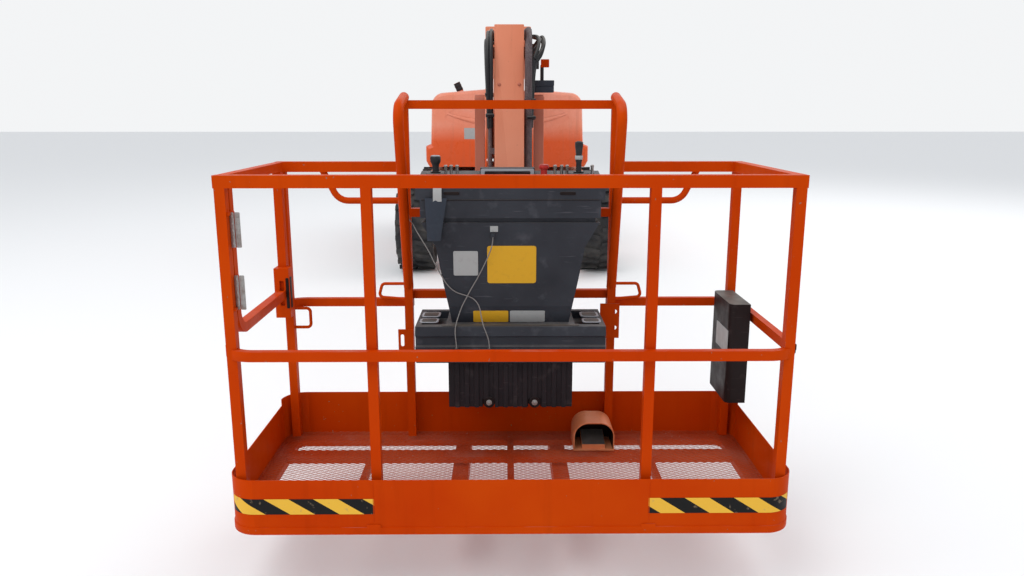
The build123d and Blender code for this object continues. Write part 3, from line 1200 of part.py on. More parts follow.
# Entry gate on the platform's left side, hinged at its front and swinging inwards.
gate_plane = Plane(origin=(-POST_X - POST / 2, PLATFORM_Y, PLATFORM_Z), x_dir=(0, 1, 0), z_dir=(1, 0, 0))
latch_height = LATCH_HIGH - LATCH_LOW
with BuildPart(PLATFORM) as gate:
    for inset, mode in ((0.0, Mode.ADD), (POST, Mode.SUBTRACT)):
        with BuildSketch(gate_plane) as frame:
            with BuildLine():
                Polyline(
                    (GATE_START + inset, GATE_BOTTOM + inset),
                    (GATE_END - inset, GATE_BOTTOM + inset),
                    (GATE_END - inset, RAIL_TOP - inset),
                    (GATE_START + inset, RAIL_TOP - inset),
                    close=True,
                )
            make_face()
            fillet(frame.vertices().group_by(Axis.Y)[0].sort_by(Axis.X)[0], radius=GATE_ROUND - inset)
        extrude(amount=POST, mode=mode)
    with Locations((-POST_X + 2, GATE_END - LATCH_BOX / 2, LATCH_LOW + latch_height / 2)):
        Box(POST + 24, LATCH_BOX, latch_height)
    with Locations((-POST_X + 2, GATE_END - LATCH_BOX, LATCH_LOW + latch_height / 2)):
        Box(POST / 2, 24, latch_height / 2, mode=Mode.SUBTRACT)
    for pin_z in (HINGE_LOW, HINGE_HIGH):
        with Locations((gate_axis_x, gate_axis_y, pin_z)):
            Cylinder(2 * GATE_PIN, 0.75 * HINGE_HEIGHT)
        with Locations((gate_axis_x - 4, GATE_START + 12, pin_z)):
            Box(2 * GATE_PIN, 24, 0.75 * HINGE_HEIGHT)
        with Locations((gate_axis_x, gate_axis_y, pin_z)):
            Cylinder(GATE_PIN + PIN_CLEARANCE, HINGE_HEIGHT, mode=Mode.SUBTRACT)
gate.part.label = "gate"
export_step(gate.part, "parts/gate.step")

# Control console on the rear rail: funnel, box, lid, and the controls on it.
console_back = PLATFORM_D - RAIL_INSET - POST
lid_back = console_back - 8
Tier = namedtuple("Tier", "width front z")
tiers = (
    Tier(430, 500, TRAY_TOP),
    Tier(450, 480, 640),
    Tier(487, 470, 735),
    Tier(530, 460, 860),
    Tier(630, CONSOLE_FRONT, 950),
)
Control = namedtuple("Control", "x y stem head grip top")
controls = (
    Control(-269, 560, 11, 18, 32, 1175),
    Control(247, 560, 9, 14, 70, 1226),
    Control(122, 570, 11, 17, 14, 1144),
    Control(-236, 600, 5, 6, 6, 1140),
    Control(-216, 600, 5, 6, 6, 1140),
    Control(-194, 600, 5, 6, 6, 1140),
    Control(164, 600, 5, 6, 6, 1140),
    Control(188, 600, 5, 6, 6, 1140),
    Control(208, 600, 5, 6, 6, 1140),
    Control(300, 600, 5, 6, 6, 1140),
)
with BuildPart(PLATFORM) as console:
    for tier in tiers:
        with BuildSketch(PLATFORM.offset(tier.z)):
            with Locations((0, (tier.front + console_back) / 2)):
                Rectangle(tier.width, console_back - tier.front)
    loft(ruled=True)
    with Locations((0, (CONSOLE_FRONT + 12 + console_back) / 2, (tiers[-1].z + BOX_BOTTOM) / 2)):
        Box(NECK_WIDTH, console_back - CONSOLE_FRONT - 12, BOX_BOTTOM - tiers[-1].z)
    with Locations((0, (CONSOLE_FRONT + console_back) / 2, (BOX_BOTTOM + LID_BOTTOM) / 2)):
        Box(BOX_WIDTH, console_back - CONSOLE_FRONT, LID_BOTTOM - BOX_BOTTOM)
    lid_plane = Plane(origin=(-LID_WIDTH / 2, PLATFORM_Y, PLATFORM_Z), x_dir=(0, 1, 0), z_dir=(1, 0, 0))
    with BuildSketch(lid_plane):
        with BuildLine():
            Polyline(
                (CONSOLE_FRONT, LID_BOTTOM),
                (lid_back, LID_BOTTOM),
                (lid_back, CONSOLE_TOP + CONSOLE_RISE),
                (CONSOLE_FRONT, CONSOLE_TOP),
                close=True,
            )
        make_face()
    extrude(amount=LID_WIDTH)
    for control in controls:
        stem_top = control.top - control.grip
        with Locations((control.x, control.y, (LID_BOTTOM + stem_top) / 2)):
            Cylinder(control.stem, stem_top - LID_BOTTOM)
        with Locations((control.x, control.y, stem_top + control.grip / 2)):
            Cone(control.stem, control.head, control.grip)
    for control in controls[:2]:
        with Locations((control.x, control.y, CONSOLE_TOP + CONSOLE_RISE / 2)):
            Cylinder(2 * controls[0].head, CONSOLE_RISE)
    with Locations((-10, 640, (LID_BOTTOM + 1130) / 2)):
        Box(200, 60, 1130 - LID_BOTTOM)
    with Locations((CORD_B[0].x, CONSOLE_FRONT, CORD_B[0].z + CORD_CLIP / 2)):
        Box(CORD_CLIP, 2 * CORD_CLIP, CORD_CLIP)
console.part.label = "console"
export_step(console.part, "parts/console.step")

# Moulded tray under the console, with a stepped front, two pockets and end handles.
tray_plane = Plane(origin=(-TRAY_WIDTH / 2, PLATFORM_Y, PLATFORM_Z), x_dir=(0, 1, 0), z_dir=(1, 0, 0))
with BuildPart(PLATFORM) as console_tray:
    with BuildSketch(tray_plane):
        with BuildLine():
            Polyline(
                (console_back, TRAY_BOTTOM),
                (TRAY_FRONT + 17, TRAY_BOTTOM),
                (TRAY_FRONT + 4, 480),
                (TRAY_FRONT, 500),
                (TRAY_FRONT + 12, 505),
                (TRAY_FRONT + 12, 535),
                (TRAY_FRONT, 540),
                (TRAY_FRONT + 8, TRAY_TOP),
                (console_back, TRAY_TOP),
                close=True,
            )
        make_face()
    extrude(amount=TRAY_WIDTH)
    for side in (-1, 1):
        with Locations((side * (TRAY_WIDTH / 2 - 65), 570, TRAY_TOP)):
            Box(90, 200, 60, mode=Mode.SUBTRACT)
        with Locations((side * TRAY_WIDTH / 2, 570, 500)):
            Box(36, 90, 26, mode=Mode.SUBTRACT)
    for clip in (CORD_A[-1], CORD_B[-1]):
        with Locations((clip.x, TRAY_FRONT, clip.z - CORD_CLIP / 2)):
            Box(CORD_CLIP, 2 * CORD_CLIP, CORD_CLIP)
console_tray.part.label = "console_tray"
export_step(console_tray.part, "parts/console_tray.step")

# Junction box below the tray, ribbed in front and notched below.
rib_count = int(JUNCTION_WIDTH / RIB_PITCH)
junction_height = TRAY_BOTTOM - JUNCTION_BOTTOM
with BuildPart(PLATFORM) as junction_box:
    with Locations((0, (JUNCTION_FRONT + console_back) / 2, JUNCTION_BOTTOM + junction_height / 2)):
        Box(JUNCTION_WIDTH, console_back - JUNCTION_FRONT, junction_height)
    for rib in range(rib_count):
        rib_x = (rib - (rib_count - 1) / 2) * RIB_PITCH
        with Locations((rib_x, JUNCTION_FRONT, JUNCTION_BOTTOM + junction_height / 2)):
            Box(RIB_PITCH / 2, RIB_PITCH / 3, junction_height)
    with Locations((-81, JUNCTION_FRONT, JUNCTION_BOTTOM), (89, JUNCTION_FRONT, JUNCTION_BOTTOM)):
        Box(45, 60, 60, mode=Mode.SUBTRACT)
junction_box.part.label = "junction_box"
export_step(junction_box.part, "parts/junction_box.step")

# Footswitch on the floor: a pedal under an arched hood that is open in front.
arch = Plane(
    origin=(SWITCH_X, PLATFORM_Y + SWITCH_FRONT, PLATFORM_Z + FLOOR_TOP),
    x_dir=(1, 0, 0),
    z_dir=(0, -1, 0),
)
pedal_plane = Plane(origin=(SWITCH_X - 45, PLATFORM_Y, PLATFORM_Z), x_dir=(0, 1, 0), z_dir=(1, 0, 0))
with BuildPart(PLATFORM) as footswitch:
    for inset, mode in ((0.0, Mode.ADD), (SWITCH_WALL, Mode.SUBTRACT)):
        with BuildSketch(arch) as opening:
            with BuildLine():
                Polyline(
                    (inset - SWITCH_WIDTH / 2, inset),
                    (SWITCH_WIDTH / 2 - inset, inset),
                    (SWITCH_WIDTH / 2 - inset, SWITCH_HEIGHT - inset),
                    (inset - SWITCH_WIDTH / 2, SWITCH_HEIGHT - inset),
                    close=True,
                )
            make_face()
            fillet(opening.vertices().group_by(Axis.Y)[-1], radius=SWITCH_HEIGHT / 2 - inset)
        extrude(amount=inset - SWITCH_DEPTH, mode=mode)
    with BuildSketch(pedal_plane):
        with BuildLine():
            Polyline(
                (SWITCH_FRONT + 12, FLOOR_TOP),
                (SWITCH_FRONT + 12, FLOOR_TOP + 20),
                (SWITCH_FRONT + 110, FLOOR_TOP + 45),
                (SWITCH_FRONT + 110, FLOOR_TOP),
                close=True,
            )
        make_face()
    extrude(amount=90)
footswitch.part.label = "footswitch"
export_step(footswitch.part, "parts/footswitch.step")

# Document case inside the right-hand rails.
case_x = ring_half - MID_RAIL - CASE_HOOK - CASE_THICKNESS / 2
with BuildPart(PLATFORM) as document_case:
    with Locations((case_x, CASE_FRONT + CASE_WIDTH / 2, CASE_BOTTOM + CASE_HEIGHT / 2)):
        Box(CASE_THICKNESS, CASE_WIDTH, CASE_HEIGHT)
    fillet(document_case.edges().filter_by(Axis.Z).group_by(Axis.X)[0], radius=CASE_ROUND)
    with Locations((ring_half - MID_RAIL - CASE_HOOK / 2, CASE_FRONT + CASE_WIDTH / 2, MID_TOP - POST / 2)):
        Box(CASE_HOOK, CASE_WIDTH / 2, POST)
document_case.part.label = "document_case"
export_step(document_case.part, "parts/document_case.step")

# Cords that hang in front of the console, each on straight runs with tangent arcs.
for name, stops in (("left", CORD_A), ("right", CORD_B)):
    places = [Vector(stop.x, PLATFORM_Y + stop.y, PLATFORM_Z + stop.z) for stop in stops]
    steps = [after - before for before, after in zip(places, places[1:])]
    bends = []
    for before, after in zip(steps, steps[1:]):
        half_turn = radians(before.get_angle(after) / 2)
        bends.append(0.45 * min(before.length, after.length) / tan(half_turn))
    print("cord", name, "radii", [round(bend, 1) for bend in bends])
    with BuildPart() as cord:
        with BuildLine() as path:
            FilletPolyline(*places, radius=bends)
        route = path.wires()[0]
        with BuildSketch(Plane(origin=route @ 0, z_dir=route % 0)):
            Circle(CORD_RADIUS)
        sweep(path=route)
    section = pi * CORD_RADIUS**2 * route.length
    print("cord", name, "length", round(route.length, 1), "volume", round(cord.part.volume))
    print("cord", name, "section times length", round(section))
    cord.part.label = f"cord_{name}"
    export_step(cord.part, f"parts/cord_{name}.step")
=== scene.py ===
"""Looks of a telescopic boom lift with a jib, parked with its railed platform low and near.

Metres, +Z up, origin on the ground under the machine's middle, platform end at -Y.
"""

import json
import logging
import math
from dataclasses import dataclass, field
from enum import Enum

import bpy
import numpy as np
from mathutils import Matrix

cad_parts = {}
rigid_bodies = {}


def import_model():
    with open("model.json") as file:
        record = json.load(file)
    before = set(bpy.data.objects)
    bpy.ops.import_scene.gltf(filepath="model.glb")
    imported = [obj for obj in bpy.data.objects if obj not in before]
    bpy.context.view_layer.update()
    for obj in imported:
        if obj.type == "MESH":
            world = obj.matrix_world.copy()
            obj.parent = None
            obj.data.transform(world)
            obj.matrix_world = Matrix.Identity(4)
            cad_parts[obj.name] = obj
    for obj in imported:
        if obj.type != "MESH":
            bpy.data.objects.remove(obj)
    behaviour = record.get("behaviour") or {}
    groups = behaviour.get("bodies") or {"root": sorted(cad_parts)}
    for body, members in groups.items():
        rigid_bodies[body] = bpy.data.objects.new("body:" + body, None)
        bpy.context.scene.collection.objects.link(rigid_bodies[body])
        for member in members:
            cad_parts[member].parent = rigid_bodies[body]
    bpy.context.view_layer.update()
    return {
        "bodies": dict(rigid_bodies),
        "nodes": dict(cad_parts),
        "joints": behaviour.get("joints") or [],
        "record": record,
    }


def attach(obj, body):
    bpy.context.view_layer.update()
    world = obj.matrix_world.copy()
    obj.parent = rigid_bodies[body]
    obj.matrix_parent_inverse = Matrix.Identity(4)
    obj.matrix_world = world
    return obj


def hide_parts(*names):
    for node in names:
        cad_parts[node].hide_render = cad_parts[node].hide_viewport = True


LOG = logging.getLogger("boom_lift")

Colour = tuple[float, float, float]
Triple = tuple[float, float, float]
Profile = tuple[tuple[float, float], ...]
Socket = bpy.types.NodeSocket

# Tables below are in millimetres; everything is made in metres.
MM = 0.001
PLATFORM_Y = -4.6025
PLATFORM_Z = 0.235
SLEW_Y = 2.3275
# Points of a solid that are this close, in metres, are welded before its edges are rounded.
WELD = 0.00002
# How far a block's corners stay short of a half circle, so that no two points meet.
CORNER_GAP = 1e-4
# A direction that no hose runs along, to start each of its rings from.
RING_START = (0.31, 0.22, 0.93)
COAT_ROUGHNESS = 0.12
# The Z of a face's normal from which dust starts to lie on it, and where it lies in full.
DUSTY_SLOPES = (0.35, 0.95)
# How strong rain runs are at no dirt, what full dirt adds, and the share of colour they keep.
RUN_LEAST, RUN_ADDED, RUN_SHADE = 0.05, 0.45, 0.45
# What full wear adds to the noise that chips the paint.
CHIP_ADDED = 0.09
# Size and waviness of the yarn, and the stretch of its values from dark to pale.
YARN_SCALE, YARN_DISTORTION, YARN_VALUES = 60.0, 1.5, (0.2, 0.7)
# Distances from a stripe's middle between which the tape changes its colour.
STRIPE_EDGE = (0.249, 0.251)
# Numbers of a Mix node's two colour inputs and of its colour output.
MIX_FIRST, MIX_SECOND, MIX_RESULT = 6, 7, 2


class Pattern(Enum):
    """What a finish shows besides its body colour."""

    ENAMEL = "enamel"
    CAST = "cast"
    MOULDED = "moulded"
    RUBBER = "rubber"
    BARE = "bare"
    TAPE = "tape"
    PRINT = "print"
    WOVEN = "woven"


class Axis(Enum):
    """The axis that a form runs along, last, after the two axes across it."""

    X = (1, 2, 0)
    Y = (2, 0, 1)
    Z = (0, 1, 2)


@dataclass(frozen=True)
class Noise:
    """Cloudy values, and the stretch of them that counts from nothing to all."""

    scale: float
    low: float = 0.0
    high: float = 1.0
    detail: float = 4.0
    stretch: Triple = (1.0, 1.0, 1.0)


@dataclass(frozen=True)
class Skin:
    """How a pattern's sheen varies, and its relief's depth in metres, strength and grain."""

    sheen: Noise
    depth: float
    steep: float
    grain: Noise | None = None


FADE = Noise(2.3, 0.35, 0.7)
RUNS = Noise(26.0, 0.56, 0.8, 6.0, (1.0, 1.0, 0.07))
GRIME = Noise(7.0, 0.5, 0.85, 8.0)
SPOTS = Noise(95.0, 0.735, 0.75, 5.0, (1.0, 1.0, 0.7))
WORN_ZONES = Noise(5.0, 0.45, 0.75, 3.0)
TINTS = Noise(4.0, 0.35, 0.7)
SCRATCHES = Noise(120.0, 0.66, 0.72, 3.0, (0.08, 1.0, 1.0))
SCUFFS = Noise(18.0, 0.58, 0.74, 7.0)
SETTLED = Noise(9.0, 0.2, 0.8)
SOIL = Noise(6.0, 0.42, 0.72, 9.0)
FUZZ = Noise(30.0, 0.55, 0.75, 6.0)
RUST = Noise(24.0, 0.55, 0.7, 8.0)
TAPE_SCUFFS = Noise(45.0, 0.62, 0.68, 9.0)
AGED = Noise(60.0, 0.55, 0.75, 8.0)
DRAWN = Noise(300.0, 0.3, 0.7, 2.0, (1.0, 0.03, 1.0))
PAINT_SHEEN = Noise(14.0, 0.3, 0.75, 6.0)

SKINS: dict[Pattern, Skin] = {
    Pattern.ENAMEL: Skin(PAINT_SHEEN, 0.0006, 0.25, Noise(420.0, detail=2.0)),
    Pattern.CAST: Skin(PAINT_SHEEN, 0.004, 0.25, Noise(60.0, detail=2.0)),
    Pattern.MOULDED: Skin(Noise(20.0, 0.3, 0.7, 5.0), 0.0008, 0.3, Noise(700.0, detail=2.0)),
    Pattern.RUBBER: Skin(Noise(30.0, 0.3, 0.7), 0.002, 0.4, Noise(160.0, detail=6.0)),
    Pattern.BARE: Skin(DRAWN, 0.0003, 0.2, DRAWN),
    Pattern.TAPE: Skin(Noise(30.0, 0.3, 0.7), 0.0002, 0.2, Noise(200.0)),
    Pattern.PRINT: Skin(Noise(40.0, 0.3, 0.7), 0.0002, 0.15, Noise(300.0)),
    Pattern.WOVEN: Skin(Noise(20.0, 0.3, 0.7), 0.0008, 0.5),
}


def opaque(colour: Socket | Colour) -> Socket | tuple[float, ...]:
    """A plain colour with full alpha, and a socket as it is."""
    return (*colour, 1.0) if isinstance(colour, tuple) else colour


class Graph:
    """A node graph, with short calls for the nodes that the finishes and the sky share."""

    def __init__(self, owner: bpy.types.Material | bpy.types.World) -> None:
        """Starts an empty graph.

        Args:
            owner: The material or world that it belongs to.
        """
        owner.use_nodes = True
        self.owner = owner
        self.tree = owner.node_tree
        self.tree.nodes.clear()

    def node(self, kind: str, inputs: dict[str | int, object], **settings: str) -> bpy.types.Node:
        """Adds a node, and links or sets its inputs.

        Args:
            kind: The node's type.
            inputs: A socket to link or a value to set, by the input's name or number.
            settings: The node's own settings.

        Returns:
            The node.
        """
        made = self.tree.nodes.new(kind)
        for key, value in settings.items():
            setattr(made, key, value)
        for key, value in inputs.items():
            if isinstance(value, Socket):
                self.tree.links.new(value, made.inputs[key])
            else:
                made.inputs[key].default_value = value
        return made

    def place(self, stretch: Triple = (1.0, 1.0, 1.0), uv: bool = False) -> Socket:
        """Object coordinates, or the piece's own map, stretched along each axis."""
        source = self.node("ShaderNodeTexCoord", {}).outputs["UV" if uv else "Object"]
        return self.node("ShaderNodeMapping", {"Vector": source, "Scale": stretch}).outputs[0]

    def noise(self, noise: Noise) -> Socket:
        """A noise's plain values between 0 and 1."""
        inputs = {"Vector": self.place(noise.stretch), "Scale": noise.scale, "Detail": noise.detail}
        return self.node("ShaderNodeTexNoise", inputs).outputs["Fac"]

    def band(
        self, value: Socket, low: float, high: float, bottom: float = 0.0, top: float = 1.0
    ) -> Socket:
        """Maps a value's stretch from low to high onto bottom to top, clamped."""
        inputs = {"From Min": low, "From Max": high, "To Min": bottom, "To Max": top}
        return self.node("ShaderNodeMapRange", {"Value": value, **inputs}).outputs["Result"]

    def cloud(self, noise: Noise, bottom: float = 0.0, top: float = 1.0) -> Socket:
        """A noise whose counting stretch is spread from bottom to top."""
        return self.band(self.noise(noise), noise.low, noise.high, bottom, top)

    def math(self, kind: str, left: Socket, right: Socket | float) -> Socket:
        """One arithmetic step on a value."""
        return self.node("ShaderNodeMath", {0: left, 1: right}, operation=kind).outputs[0]

    def mix(self, factor: Socket, first: Socket | Colour, second: Socket | Colour) -> Socket:
        """Blends two colours by a value."""
        inputs = {0: factor, MIX_FIRST: opaque(first), MIX_SECOND: opaque(second)}
        return self.node("ShaderNodeMix", inputs, data_type="RGBA").outputs[MIX_RESULT]

    def axes(self, vector: Socket) -> bpy.types.bpy_prop_collection:
        """The X, Y and Z sockets of a vector."""
        return self.node("ShaderNodeSeparateXYZ", {0: vector}).outputs

    def upward(self) -> Socket:
        """How far a face looks up, from 0 to 1."""
        normal = self.node("ShaderNodeNewGeometry", {}).outputs["Normal"]
        return self.band(self.axes(normal)["Z"], *DUSTY_SLOPES)

    def bump(self, relief: Socket, skin: Skin) -> Socket:
        """The normals of a relief, as deep and strong as the skin says."""
        inputs = {"Strength": skin.steep, "Distance": skin.depth, "Height": relief}
        return self.node("ShaderNodeBump", inputs).outputs["Normal"]

    def shade(self, inputs: dict[str, object]) -> bpy.types.Material:
        """Ends a material with one Principled shader.

        Args:
            inputs: The shader's sockets and values.

        Returns:
            The material.
        """
        shader = self.node("ShaderNodeBsdfPrincipled", inputs)
        self.node("ShaderNodeOutputMaterial", {0: shader.outputs[0]})
        return self.owner


@dataclass(frozen=True)
class Finish:
    """One finish of the machine: its colours and how worn it is.

    Foot is a deeper colour near the ground, blended out between the two heights of foot_z; on the
    hood the paler colours above it are partly painted sky reflection.
    """

    name: str
    slot: str
    pattern: Pattern
    colour: Colour
    second: Colour = (0.5, 0.5, 0.5)
    worn: Colour = (0.2, 0.16, 0.13)
    dust: Colour = (0.42, 0.38, 0.33)
    wear: float = 0.3
    dirt: float = 0.3
    rough: tuple[float, float] = (0.4, 0.6)
    metal: float = 0.0
    coat: float = 0.0
    shine: float = 0.5
    foot: Colour | None = None
    foot_z: tuple[float, float] = (1.26, 1.44)

    def material(self) -> bpy.types.Material:
        """Builds the finish once, and gives the same material after that.

        Returns:
            The material.
        """
        known = bpy.data.materials.get(self.name)
        if known:
            return known
        draw = {
            Pattern.ENAMEL: self.enamel,
            Pattern.CAST: self.enamel,
            Pattern.MOULDED: self.moulded,
            Pattern.RUBBER: self.rubber,
            Pattern.BARE: self.bare,
            Pattern.TAPE: self.tape,
            Pattern.PRINT: self.printed,
            Pattern.WOVEN: self.woven,
        }[self.pattern]
        graph, skin = Graph(bpy.data.materials.new(self.name)), SKINS[self.pattern]
        colour, relief = draw(graph, skin)
        return graph.shade({
            "Base Color": colour, "Roughness": graph.cloud(skin.sheen, *self.rough),
            "Normal": graph.bump(relief, skin), "Metallic": self.metal, "Coat Weight": self.coat,
            "Coat Roughness": COAT_ROUGHNESS, "Specular IOR Level": self.shine,
        })

    def enamel(self, graph: Graph, skin: Skin) -> tuple[Socket, Socket]:
        """Sprayed paint: sun-faded clouds, rain runs, chips down to the metal, dust on top.

        Args:
            graph: The material's graph.
            skin: The pattern's relief.

        Returns:
            The colour and the relief.
        """
        faded = graph.mix(graph.cloud(FADE), self.colour, self.second)
        # On the hood the body colours are partly painted sky reflection, and the foot blends them
        # back to the deeper paint lower down.
        if self.foot:
            height = graph.axes(graph.place())["Z"]
            faded = graph.mix(graph.band(height, *self.foot_z), self.foot, faded)
        runs = graph.cloud(RUNS, 0.0, RUN_ADDED * self.dirt + RUN_LEAST)
        stained = graph.mix(runs, faded, tuple(RUN_SHADE * c for c in self.colour))
        grime = graph.math("MULTIPLY", graph.cloud(GRIME, 0.0, self.dirt), graph.upward())
        dusty = graph.mix(grime, stained, self.dust)
        zone = graph.cloud(WORN_ZONES, 0.0, CHIP_ADDED * self.wear)
        spots = graph.math("ADD", graph.noise(SPOTS), zone)
        chips = graph.band(spots, SPOTS.low, SPOTS.high)
        relief = graph.math("SUBTRACT", graph.noise(skin.grain), chips)
        return graph.mix(chips, dusty, self.worn), relief

    def moulded(self, graph: Graph, skin: Skin) -> tuple[Socket, Socket]:
        """Textured plastic: fine grain, paler scuffs and scratches, dust on top.

        Args:
            graph: The material's graph.
            skin: The pattern's relief.

        Returns:
            The colour and the relief.
        """
        tinted = graph.mix(graph.cloud(TINTS), self.colour, self.second)
        scratch = graph.cloud(SCRATCHES, 0.0, self.wear)
        marks = graph.math("MAXIMUM", scratch, graph.cloud(SCUFFS, 0.0, self.wear))
        rubbed = graph.mix(marks, tinted, self.worn)
        settled = graph.math("MULTIPLY", graph.upward(), graph.cloud(SETTLED, 0.2, 1.0))
        colour = graph.mix(graph.math("MULTIPLY", settled, self.dirt), rubbed, self.dust)
        return colour, graph.noise(skin.grain)

    def rubber(self, graph: Graph, skin: Skin) -> tuple[Socket, Socket]:
        """Tyre rubber: black with dried dirt in its hollows."""
        colour = graph.mix(graph.cloud(SOIL, 0.0, self.dirt), self.colour, self.dust)
        return colour, graph.noise(skin.grain)

    def woven(self, graph: Graph, skin: Skin) -> tuple[Socket, Socket]:
        """Braided sleeve or cord: crossed bands of yarn, which are also its relief, fuzzed.

        Args:
            graph: The material's graph.
            skin: The pattern's relief; not used here.

        Returns:
            The colour and the relief.
        """
        bands = []
        for lean in (1.0, -1.0):
            inputs = {"Scale": YARN_SCALE, "Distortion": YARN_DISTORTION}
            inputs["Vector"] = graph.place((1.0, lean, 1.0))
            wave = graph.node("ShaderNodeTexWave", inputs, bands_direction="DIAGONAL")
            bands.append(wave.outputs["Fac"])
        yarn = graph.math("MULTIPLY", *bands)
        colour = graph.mix(graph.band(yarn, *YARN_VALUES), self.colour, self.second)
        return graph.mix(graph.cloud(FUZZ, 0.0, self.dirt), colour, self.worn), yarn

    def bare(self, graph: Graph, skin: Skin) -> tuple[Socket, Socket]:
        """Bare or plated metal: fine draw lines and patches of rust."""
        colour = graph.mix(graph.cloud(RUST, 0.0, self.wear), self.colour, self.worn)
        return colour, graph.noise(skin.grain)

    def tape(self, graph: Graph, skin: Skin) -> tuple[Socket, Socket]:
        """Hazard tape: slanted stripes along the piece's own map, scuffed at random.

        Where the sum of both map values, less its whole part, is over a quarter from one half,
        the tape has its body colour, and else its second one.

        Args:
            graph: The material's graph.
            skin: The pattern's relief.

        Returns:
            The colour and the relief.
        """
        flat = graph.axes(graph.place(uv=True))
        slant = graph.math("FRACT", graph.math("ADD", flat["X"], flat["Y"]), 0.0)
        distance = graph.math("ABSOLUTE", graph.math("SUBTRACT", slant, 0.5), 0.0)
        plain = graph.mix(graph.band(distance, *STRIPE_EDGE), self.second, self.colour)
        scuffs = graph.cloud(TAPE_SCUFFS, 0.0, self.wear)
        return graph.mix(scuffs, plain, self.worn), graph.noise(skin.grain)

    def printed(self, graph: Graph, skin: Skin) -> tuple[Socket, Socket]:
        """A blank plate or label: an even ground with weathered edges and specks."""
        colour = graph.mix(graph.cloud(AGED, 0.0, self.wear), self.colour, self.second)
        return colour, graph.noise(skin.grain)


ORANGE = Finish(
    "rail_orange", "orange_paint", Pattern.ENAMEL, (0.50, 0.038, 0.0003), (0.56, 0.058, 0.001),
    worn=(0.26, 0.16, 0.11), wear=0.55, rough=(0.32, 0.5), shine=0.03,
)
SUNNED = Finish(
    "sunned_orange", "orange_paint", Pattern.ENAMEL, (0.64, 0.200, 0.105), (0.68, 0.260, 0.155),
    worn=(0.28, 0.12, 0.07), wear=0.5, dirt=0.4, shine=0.25,
)
LINK = Finish(
    "link_orange", "orange_paint", Pattern.ENAMEL, (0.43, 0.125, 0.075), (0.46, 0.160, 0.105),
    worn=(0.22, 0.11, 0.07), wear=0.5, dirt=0.4, shine=0.2,
)
# The hood's pale pink colour and second colour are partly sun fade and partly painted sky
# reflection on its gloss; its foot is the deeper orange paint without it.
HOOD = Finish(
    "hood_orange", "hood_plastic", Pattern.ENAMEL, (0.76, 0.240, 0.140), (0.80, 0.320, 0.230),
    worn=(0.4, 0.2, 0.14), wear=0.1, dirt=0.45, rough=(0.22, 0.4), coat=0.15, shine=0.25,
    foot=(0.70, 0.092, 0.014),
)
CHASSIS = Finish(
    "chassis_orange", "frame_paint", Pattern.ENAMEL, (0.46, 0.050, 0.005), (0.42, 0.075, 0.015),
    wear=0.6, dirt=0.8, rough=(0.35, 0.6), shine=0.2,
)
WEIGHT = Finish(
    "weight_orange", "weight_paint", Pattern.CAST, (0.52, 0.052, 0.004), (0.50, 0.072, 0.012),
    wear=0.4, dirt=0.5, rough=(0.4, 0.65), shine=0.2,
)
FLOOR = Finish(
    "floor_orange", "floor_paint", Pattern.ENAMEL, (0.34, 0.040, 0.010), (0.42, 0.11, 0.055),
    worn=(0.34, 0.24, 0.19), wear=0.9, shine=0.1,
)
PEDAL_HOOD = Finish(
    "pedal_orange", "orange_paint", Pattern.ENAMEL, (0.60, 0.110, 0.030), (0.74, 0.330, 0.160),
    worn=(0.55, 0.50, 0.42), wear=1.0, dirt=0.6, rough=(0.4, 0.65), shine=0.25,
)
WHITE_RIM = Finish(
    "rim_white", "rim_paint", Pattern.ENAMEL, (0.60, 0.58, 0.53), (0.48, 0.45, 0.40),
    worn=(0.2, 0.12, 0.08), wear=0.5, dirt=0.7, rough=(0.35, 0.6), shine=0.3,
)
TYRE = Finish(
    "tyre_rubber", "tyre", Pattern.RUBBER, (0.014, 0.014, 0.016), dust=(0.10, 0.092, 0.082),
    dirt=0.6, rough=(0.6, 0.85), shine=0.3,
)
CONSOLE = Finish(
    "console_grey", "console_plastic", Pattern.MOULDED, (0.018, 0.020, 0.027),
    (0.032, 0.036, 0.046), worn=(0.12, 0.12, 0.14), dirt=0.22, rough=(0.45, 0.65), shine=0.25,
)
JUNCTION = Finish(
    "junction_grey", "console_plastic", Pattern.MOULDED, (0.012, 0.009, 0.011),
    (0.020, 0.015, 0.018), worn=(0.10, 0.08, 0.08), wear=0.35, rough=(0.5, 0.7), shine=0.2,
)
BLACK = Finish(
    "black_plastic", "dark_plastic", Pattern.MOULDED, (0.009, 0.009, 0.011),
    (0.016, 0.016, 0.018), worn=(0.10, 0.10, 0.10), wear=0.2, rough=(0.35, 0.55), shine=0.3,
)
CASE = Finish(
    "case_black", "case_plastic", Pattern.MOULDED, (0.009, 0.005, 0.005), (0.016, 0.009, 0.009),
    worn=(0.10, 0.07, 0.07), wear=0.25, shine=0.15,
)
CARD = Finish(
    "card_slate", "console_plastic", Pattern.PRINT, (0.022, 0.030, 0.045), (0.040, 0.052, 0.070),
    wear=0.4, shine=0.3,
)
HOSE = Finish(
    "hose_sleeve", "hose_rubber", Pattern.WOVEN, (0.085, 0.062, 0.066), (0.15, 0.115, 0.118),
    worn=(0.24, 0.20, 0.19), dirt=0.4, rough=(0.6, 0.85), shine=0.2,
)
CORD = Finish(
    "cord_fibre", "cord_fibre", Pattern.WOVEN, (0.16, 0.155, 0.15), (0.32, 0.31, 0.30),
    worn=(0.42, 0.40, 0.38), rough=(0.7, 0.9),
)
STEEL = Finish(
    "bare_steel", "steel", Pattern.BARE, (0.36, 0.35, 0.34), worn=(0.16, 0.07, 0.03),
    wear=0.5, rough=(0.35, 0.55), metal=1.0,
)
CHROME = Finish(
    "rod_chrome", "rod_chrome", Pattern.BARE, (0.72, 0.72, 0.74), worn=(0.3, 0.28, 0.26),
    wear=0.15, rough=(0.08, 0.18), metal=1.0,
)
IRON = Finish(
    "engine_iron", "engine_iron", Pattern.CAST, (0.06, 0.06, 0.065), (0.09, 0.085, 0.08),
    dirt=0.5, rough=(0.5, 0.75),
)
